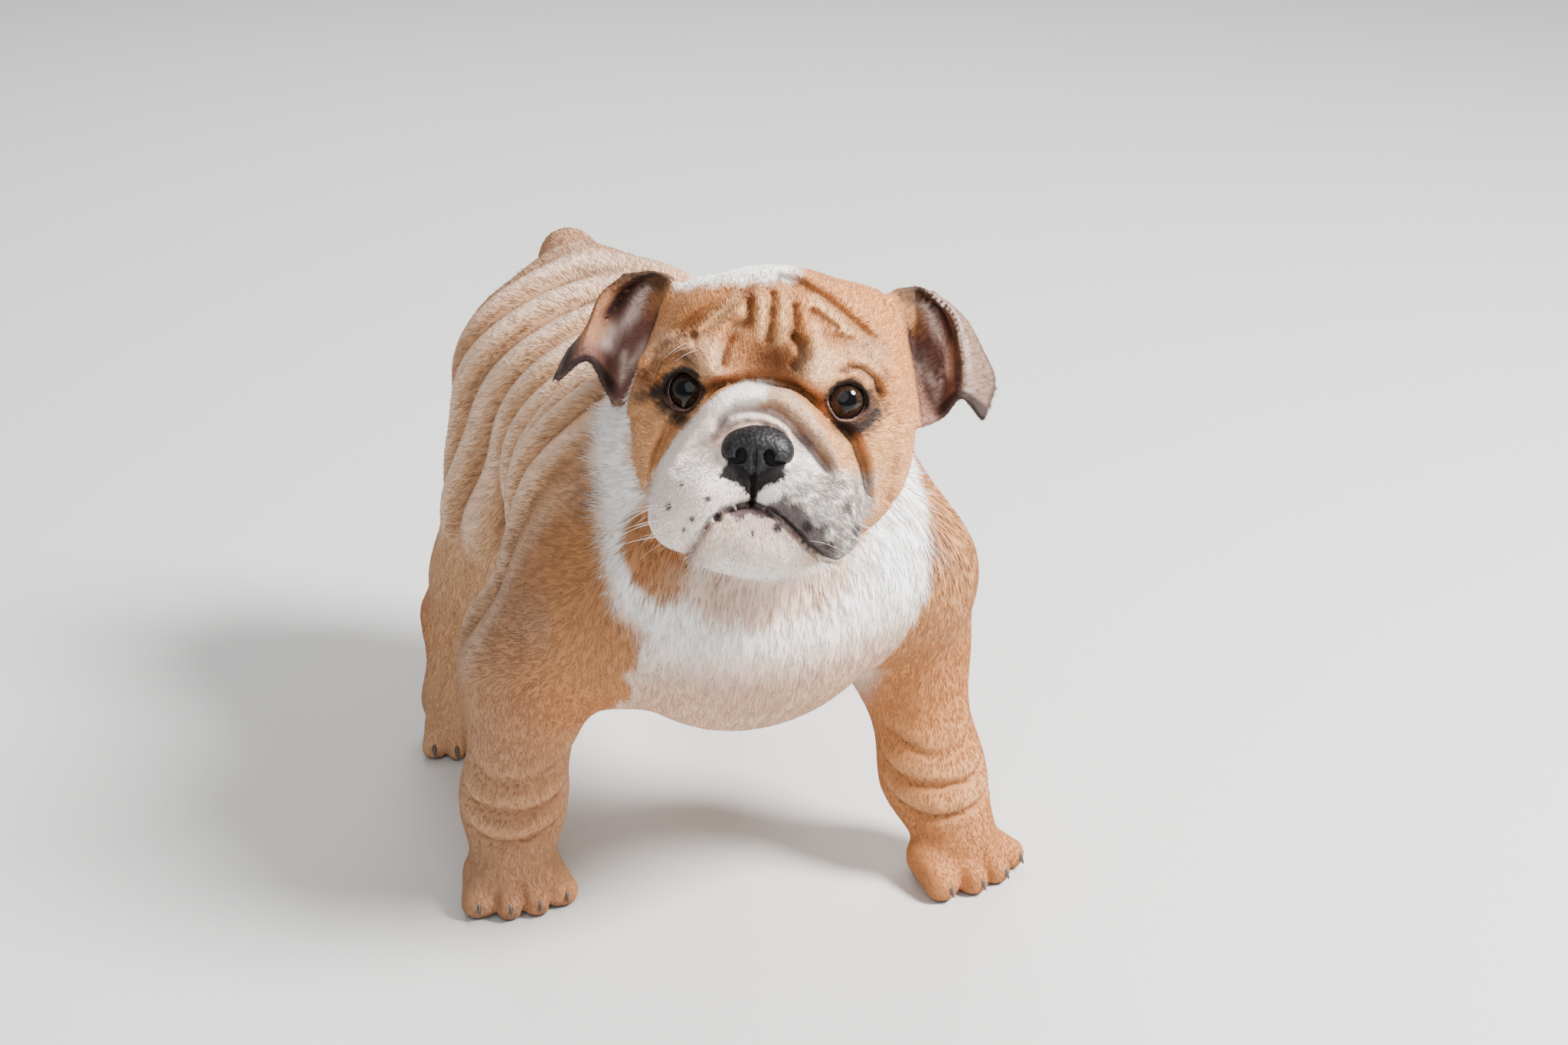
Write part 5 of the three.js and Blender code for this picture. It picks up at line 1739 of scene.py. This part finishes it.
def ball_mesh(rings, spokes):
    """A ball of radius 1 whose poles lie on its last axis: (sin r cos s, sin r sin s, cos r)."""
    r = np.linspace(0, np.pi, rings + 1)[1:-1]
    s = np.linspace(0, 2 * np.pi, spokes, endpoint=False)
    ring, spoke = np.meshgrid(r, s, indexing="ij")
    body = np.stack([np.sin(ring) * np.cos(spoke), np.sin(ring) * np.sin(spoke), np.cos(ring)], -1)
    return np.concatenate([[(0, 0, 1)], body.reshape(-1, 3), [(0, 0, -1)]]), ring_faces(len(r), spokes)


PUPIL_EDGE, IRIS_DARK, IRIS_EDGE = (3.5, 4.3), (6.2, 7.8), (8.1, 8.6)  # distances from the eye's axis
DOME_EDGE, DOME_TOP, DOME_HEIGHT = 8.2, 2.0, 0.55  # the cornea


def eye_material(iris_colour):
    """A near black pupil, an iris with streaks and a dark edge, and a dim white, all under a wet coat."""
    graph = Graph(
        "eye", Roughness=0.35, Specular_IOR_Level=0.0, Coat_Weight=1.0, Coat_Roughness=0.02, Coat_IOR=1.36)
    ring = graph.attribute("ring", "Fac")
    streak = graph.noise(26.0, 4.0, graph.attribute("spoke", "Vector"))
    iris = graph.mix(streak.between(0.35, 0.7), (*iris_colour, 1.0), (*srgb(26, 18, 14), 1.0))
    iris = graph.mix(ring.between(*IRIS_DARK), iris, (*srgb(8, 6, 5), 1.0))
    iris = graph.mix(1 - ring.between(*PUPIL_EDGE), iris, (0.002, 0.002, 0.0025, 1.0))
    white = graph.mix(graph.noise(300.0), (*srgb(150, 130, 126), 1.0), (*srgb(200, 186, 184), 1.0))
    return graph.feed(Base_Color=graph.mix(ring.between(*IRIS_EDGE), iris, white))


class BULLDOG_OT_eyes(bpy.types.Operator):
    """Eyeballs with a dark pupil, a brown iris and a wet cornea"""

    bl_idname = "bulldog.eyes"
    bl_label = "Eyes"

    def execute(self, context):
        material = eye_material(context.scene.bulldog.iris)
        local, faces = ball_mesh(64, 96)
        across = np.hypot(local[:, 0], local[:, 1]) * EYE_RADIUS
        in_front = local[:, 2] > 0
        dome = np.where(in_front, DOME_HEIGHT * smooth(DOME_EDGE, DOME_TOP, across), 0)
        ring = np.where(in_front, across, 20)
        turn = np.arctan2(local[:, 1], local[:, 0])
        spoke = np.stack([np.cos(turn) * 0.35, np.sin(turn) * 0.35, ring * 0.012], 1)
        for side in SIDES:
            centre, _, _, out = EYE_FRAMES[side]
            gaze = unit(0.7 * unit(out) + 0.3 * unit(CAMERA_PLACE - centre))
            level = unit(np.cross(gaze, [0, 0, 1.0]))
            axes = np.stack([level, np.cross(gaze, level), gaze], 1)
            p = centre + (local * (EYE_RADIUS - 0.12 + dome)[:, None]) @ axes.T
            kept = {"ring": ring, "spoke": spoke}
            piece = mesh_piece(f"eyeball_{SIDE_NAMES[side]}", p, faces, material, kept)
            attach(piece, "root")
            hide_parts(f"eye_{SIDE_NAMES[side]}")
        return {"FINISHED"}


# Nose
def nose_form(p):
    """The nose leather: a rounded pad, wider at its wings, with a groove down its middle and two nostrils."""
    q = np.stack(head_place(p), 1) - NOSE_PLACE

    def ball(centre, radii):
        return ellipsoid(centre, radii, 0)[0](q)

    d = ball((0, -1, 1.5), (13.5, 11.5, 9.0))
    for s in SIDES:
        d = blended(d, ball((s * 8.6, 1.0, -1.5), (7.0, 8.6, 7.4)), 3.5)
    d = blended(d, ball((0, 1.5, -6.5), (6.0, 7.0, 6.0)), 4)
    for s in SIDES:
        hole = ball((s * 5.9, 8.5, -2.6), (2.3, 7.0, 2.8))
        slit = ball((s * 9.2, 6.5, -5.6), (4.2, 6.5, 1.0))
        d = -blended(-d, blended(hole, slit, 1.2), 1.4)
    groove = np.exp(-((q[:, 0] / 0.9) ** 2)) * smooth(4, -3, q[:, 2])
    return d + 1.3 * groove


def leather_material(colour):
    """Black leather with paler pebbles."""
    graph = Graph("nose_leather", Coat_Weight=0.05, Coat_Roughness=0.3, Specular_IOR_Level=0.35)
    cells = graph.node("ShaderNodeTexVoronoi", {}, {"Vector": graph.place(), "Scale": 560.0})
    grain = graph.noise(400.0)
    shade = graph.mix(cells.between(0.05, 0.5), (*srgb(44, 42, 47), 1.0), (*colour, 1.0))
    pebbles = graph.bump(cells * -1.0 + 0.3 * grain, 0.6, 0.0006)
    return graph.feed(Base_Color=shade, Normal=pebbles, Roughness=0.44 + 0.2 * grain)


NOSE_STEP, NOSE_REACH = 0.55, 24  # width of the leather's net, and how far it goes each way


class BULLDOG_OT_nose(bpy.types.Operator):
    """The black nose leather with its nostrils"""

    bl_idname = "bulldog.nose"
    bl_label = "Nose"

    def execute(self, context):
        step = NOSE_STEP
        grids = [np.arange(place - NOSE_REACH, place + NOSE_REACH, step) for place in on_head(*NOSE_PLACE)]
        points, triangles = surface_nets(sampled(nose_form, grids), grids)
        points = drawn_onto(nose_form, points, 2, 0.4)
        piece = mesh_piece("nose_leather", points, triangles, leather_material(context.scene.bulldog.leather))
        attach(piece, "root")
        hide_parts("nose")
        return {"FINISHED"}


# Rods along curves: claws and whiskers
def swept(paths, radii, spokes, flat=1.0):
    """Round rods along paths, an array of rods, stations and x, y, z, with a radius at each station. A
    section is a circle across the path, squeezed sideways by flat, and each end is closed by a point."""
    rods, stations, _ = paths.shape
    along = unit(np.gradient(paths, axis=1))
    side = unit(np.cross(along, np.array([0.13, 0.21, 0.97])))
    over = np.cross(side, along)
    turn = np.linspace(0, 2 * np.pi, spokes, endpoint=False)
    circle = np.cos(turn)[:, None] * side[:, :, None] * flat + np.sin(turn)[:, None] * over[:, :, None]
    body = paths[:, :, None] + circle * radii[:, :, None, None]
    points = np.concatenate([paths[:, :1], body.reshape(rods, -1, 3), paths[:, -1:]], 1)
    index = ring_faces(stations, spokes)[None] + points.shape[1] * np.arange(rods)[:, None, None]
    return points.reshape(-1, 3), index.reshape(-1, 3)


def horn_material(colour):
    """Dark horn with paler clouds."""
    graph = Graph("horn", Roughness=0.35, Coat_Weight=0.3)
    grain = graph.noise(350.0)
    shade = graph.mix(grain, (*colour, 1.0), (*srgb(96, 82, 74), 1.0))
    return graph.feed(Base_Color=shade, Normal=graph.bump(grain, 0.3, 0.0004))


ROD_STATIONS = 9
CLAW_LENGTH, CLAW_RADIUS = 6.4, 2.5
CLAW_SPOKES, CLAW_FLAT, CLAW_FLOOR = 14, 0.72, 0.4


class BULLDOG_OT_claws(bpy.types.Operator):
    """Sixteen small curved claws"""

    bl_idname = "bulldog.claws"
    bl_label = "Claws"

    def execute(self, context):
        roots, forwards = [], []
        for paw in PAWS.values():
            for side, reach in TOES:
                across = side * 0.45 * paw[4]
                root = on_paw(paw, across, reach + 0.1, 0.3)
                roots.append(root)
                forwards.append(on_paw(paw, across * 1.1, reach + 1.1, 0.3) - root)
        roots, forwards = np.array(roots), unit(np.array(forwards))
        t = np.linspace(0, 1, ROD_STATIONS)[None, :, None]
        drop = np.array([0, 0, 1.0])
        paths = roots[:, None] + forwards[:, None] * CLAW_LENGTH * t - drop * CLAW_LENGTH * 0.75 * t**2
        radii = np.tile(CLAW_RADIUS * (1 - t[0, :, 0] ** 1.6 * 0.86), (len(roots), 1))
        points, faces = swept(paths, radii, CLAW_SPOKES, CLAW_FLAT)
        points[:, 2] = np.maximum(points[:, 2], CLAW_FLOOR)
        piece = mesh_piece("claws", points, faces, horn_material(context.scene.bulldog.horn))
        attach(piece, "root")
        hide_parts(*[f"claw_{name}_{n + 1}" for name in PAWS for n in range(4)])
        return {"FINISHED"}


WHISKER_RADIUS, WHISKER_SPOKES = 0.11, 5


def whisker_places():
    """Side, left, forward and up of each whisker: three rows of six on each lip and three over each eye."""
    places = []
    for s in SIDES:
        for row in range(3):
            for k in range(6):
                places.append((s, s * (22 + k * 4.2), 16 - k * 2.6, -42 - row * 6.5 - k * 1.4))
        places += [(s, s * 30, 4, 22), (s, s * 34, 3, 23), (s, s * 26, 6, 21)]
    return places


def whisker_material():
    """Smooth hair in its own colours."""
    graph = Graph("whisker", Roughness=0.3)
    return graph.feed(Base_Color=graph.attribute("tint"))


class BULLDOG_OT_whiskers(bpy.types.Operator):
    """Whiskers on the lips and over the eyes"""

    bl_idname = "bulldog.whiskers"
    bl_label = "Whiskers"

    def execute(self, context):
        rng = np.random.default_rng(7)
        paths, radii, tints = [], [], []
        t = np.linspace(0, 1, ROD_STATIONS)[:, None]
        for s, left, forward, up in whisker_places():
            inside = on_head(left * 0.6, forward - 16, up)
            outside = on_head(left * 1.5, forward + 18, up - 6)
            line = inside + (outside - inside) * np.linspace(0, 1, 160)[:, None]
            root = line[np.argmax(skin_form(line) > 0)]
            long = rng.uniform(13, 27) if up < 0 else rng.uniform(8, 12)
            way = np.array([s * rng.uniform(0.8, 1.1), rng.uniform(-0.5, 0.1), rng.uniform(-0.5, 0.1)])
            way = unit(HEAD_AXES @ way)
            sag = HEAD_AXES @ np.array([0, 0.35, -0.5]) * rng.uniform(0.3, 0.8)
            paths.append(root - way + way * long * t + sag * long * t**2)
            radii.append(WHISKER_RADIUS * (1 - 0.85 * t[:, 0]))
            dark = s > 0 and rng.random() < 0.45
            tints.append(srgb(60, 52, 50) if dark else srgb(246, 242, 236))
        points, faces = swept(np.array(paths), np.array(radii), WHISKER_SPOKES)
        tint = np.repeat(np.array(tints), 2 + ROD_STATIONS * WHISKER_SPOKES, axis=0)
        piece = mesh_piece("whiskers", points, faces, whisker_material(), {"tint": tint})
        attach(piece, "root")
        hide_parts("head")
        return {"FINISHED"}


# Stage
CAMERA_PLACE = np.array([-436.49, -1088.99, 664.07])
CAMERA_FORWARD = np.array([0.36228, 0.85348, -0.37461])
CAMERA_UP = np.array([0.14637, 0.34483, 0.92718])
LENS, SENSOR = 63.28, 36.0
FLOOR_REACH = 4.0
LIGHTS = (  # name, place, size, power
    ("key", (1.2, -1.05, 1.75), 0.8, 200),
    ("fill", (-1.2, -2.1, 2.2), 3.2, 40),
    ("back", (0.5, 1.6, 1.8), 1.2, 40),
)
LIT_PLACE = (0, 0, 0.2)
WORLD_COLOUR, WORLD_STRENGTH = (0.93, 0.96, 1.0, 1.0), 0.38


def floor_material(colour):
    """A plain dull floor."""
    graph = Graph("floor", Roughness=0.8)
    graph.surface.inputs["Base Color"].default_value = (*colour, 1.0)
    return graph.material


def add_lights(scene):
    """Round area lights that face the dog, and an even pale world."""
    for name, place, size, power in LIGHTS:
        data = bpy.data.lights.new(name, "AREA")
        data.shape, data.size, data.energy = "DISK", size, power
        light = bpy.data.objects.new(name, data)
        light.location = place
        light.rotation_euler = (Vector(LIT_PLACE) - Vector(place)).to_track_quat("-Z", "Y").to_euler()
        scene.collection.objects.link(light)
    world = bpy.data.worlds.new("studio")
    world.use_nodes = True
    background = world.node_tree.nodes["Background"]
    background.inputs["Color"].default_value = WORLD_COLOUR
    background.inputs["Strength"].default_value = WORLD_STRENGTH
    scene.world = world


def add_camera(scene):
    """The camera, placed and turned as the photo's was."""
    data = bpy.data.cameras.new("camera")
    data.lens, data.sensor_width = LENS, SENSOR
    camera = bpy.data.objects.new("camera", data)
    right = np.cross(CAMERA_FORWARD, CAMERA_UP)
    turn = Matrix(np.stack([right, CAMERA_UP, -CAMERA_FORWARD], 1).tolist()).to_4x4()
    camera.matrix_world = Matrix.Translation(Vector(to_part(CAMERA_PLACE))) @ turn
    scene.collection.objects.link(camera)
    scene.camera = camera


class BULLDOG_OT_stage(bpy.types.Operator):
    """A pale floor, soft studio light and the camera"""

    bl_idname = "bulldog.stage"
    bl_label = "Stage"

    def execute(self, context):
        scene = context.scene
        mesh = bpy.data.meshes.new("floor")
        corners = [(x * FLOOR_REACH, y * FLOOR_REACH, 0) for x, y in ((-1, -1), (1, -1), (1, 1), (-1, 1))]
        mesh.from_pydata(corners, [], [(0, 1, 2, 3)])
        mesh.materials.append(floor_material(scene.bulldog.floor))
        floor = bpy.data.objects.new("floor", mesh)
        scene.collection.objects.link(floor)
        add_lights(scene)
        add_camera(scene)
        return {"FINISHED"}


class BULLDOG_PT_panel(bpy.types.Panel):
    """Sizes, colours and pieces of the puppy"""

    bl_label = "Bulldog Puppy"
    bl_idname = "BULLDOG_PT_panel"
    bl_space_type = "VIEW_3D"
    bl_region_type = "UI"
    bl_category = "Bulldog"

    def draw(self, context):
        for key in BulldogSettings.__annotations__:
            self.layout.prop(context.scene.bulldog, key)
        for operator in OPERATORS:
            self.layout.operator(operator.bl_idname)


OPERATORS = (BULLDOG_OT_skin, BULLDOG_OT_coat, BULLDOG_OT_eyes, BULLDOG_OT_nose, BULLDOG_OT_claws,
             BULLDOG_OT_whiskers, BULLDOG_OT_stage)
CLASSES = (BulldogSettings, *OPERATORS, BULLDOG_PT_panel)


def register():
    """Makes the settings, the operators and the panel known."""
    for made_class in CLASSES:
        bpy.utils.register_class(made_class)
    bpy.types.Scene.bulldog = bpy.props.PointerProperty(type=BulldogSettings)


def unregister():
    """Takes them away again."""
    del bpy.types.Scene.bulldog
    for made_class in reversed(CLASSES):
        bpy.utils.unregister_class(made_class)


def main():
    """Runs each operator in turn."""
    register()
    for operator in OPERATORS:
        group, name = operator.bl_idname.split(".")
        getattr(getattr(bpy.ops, group), name)()


if __name__ == "__main__":
    main()
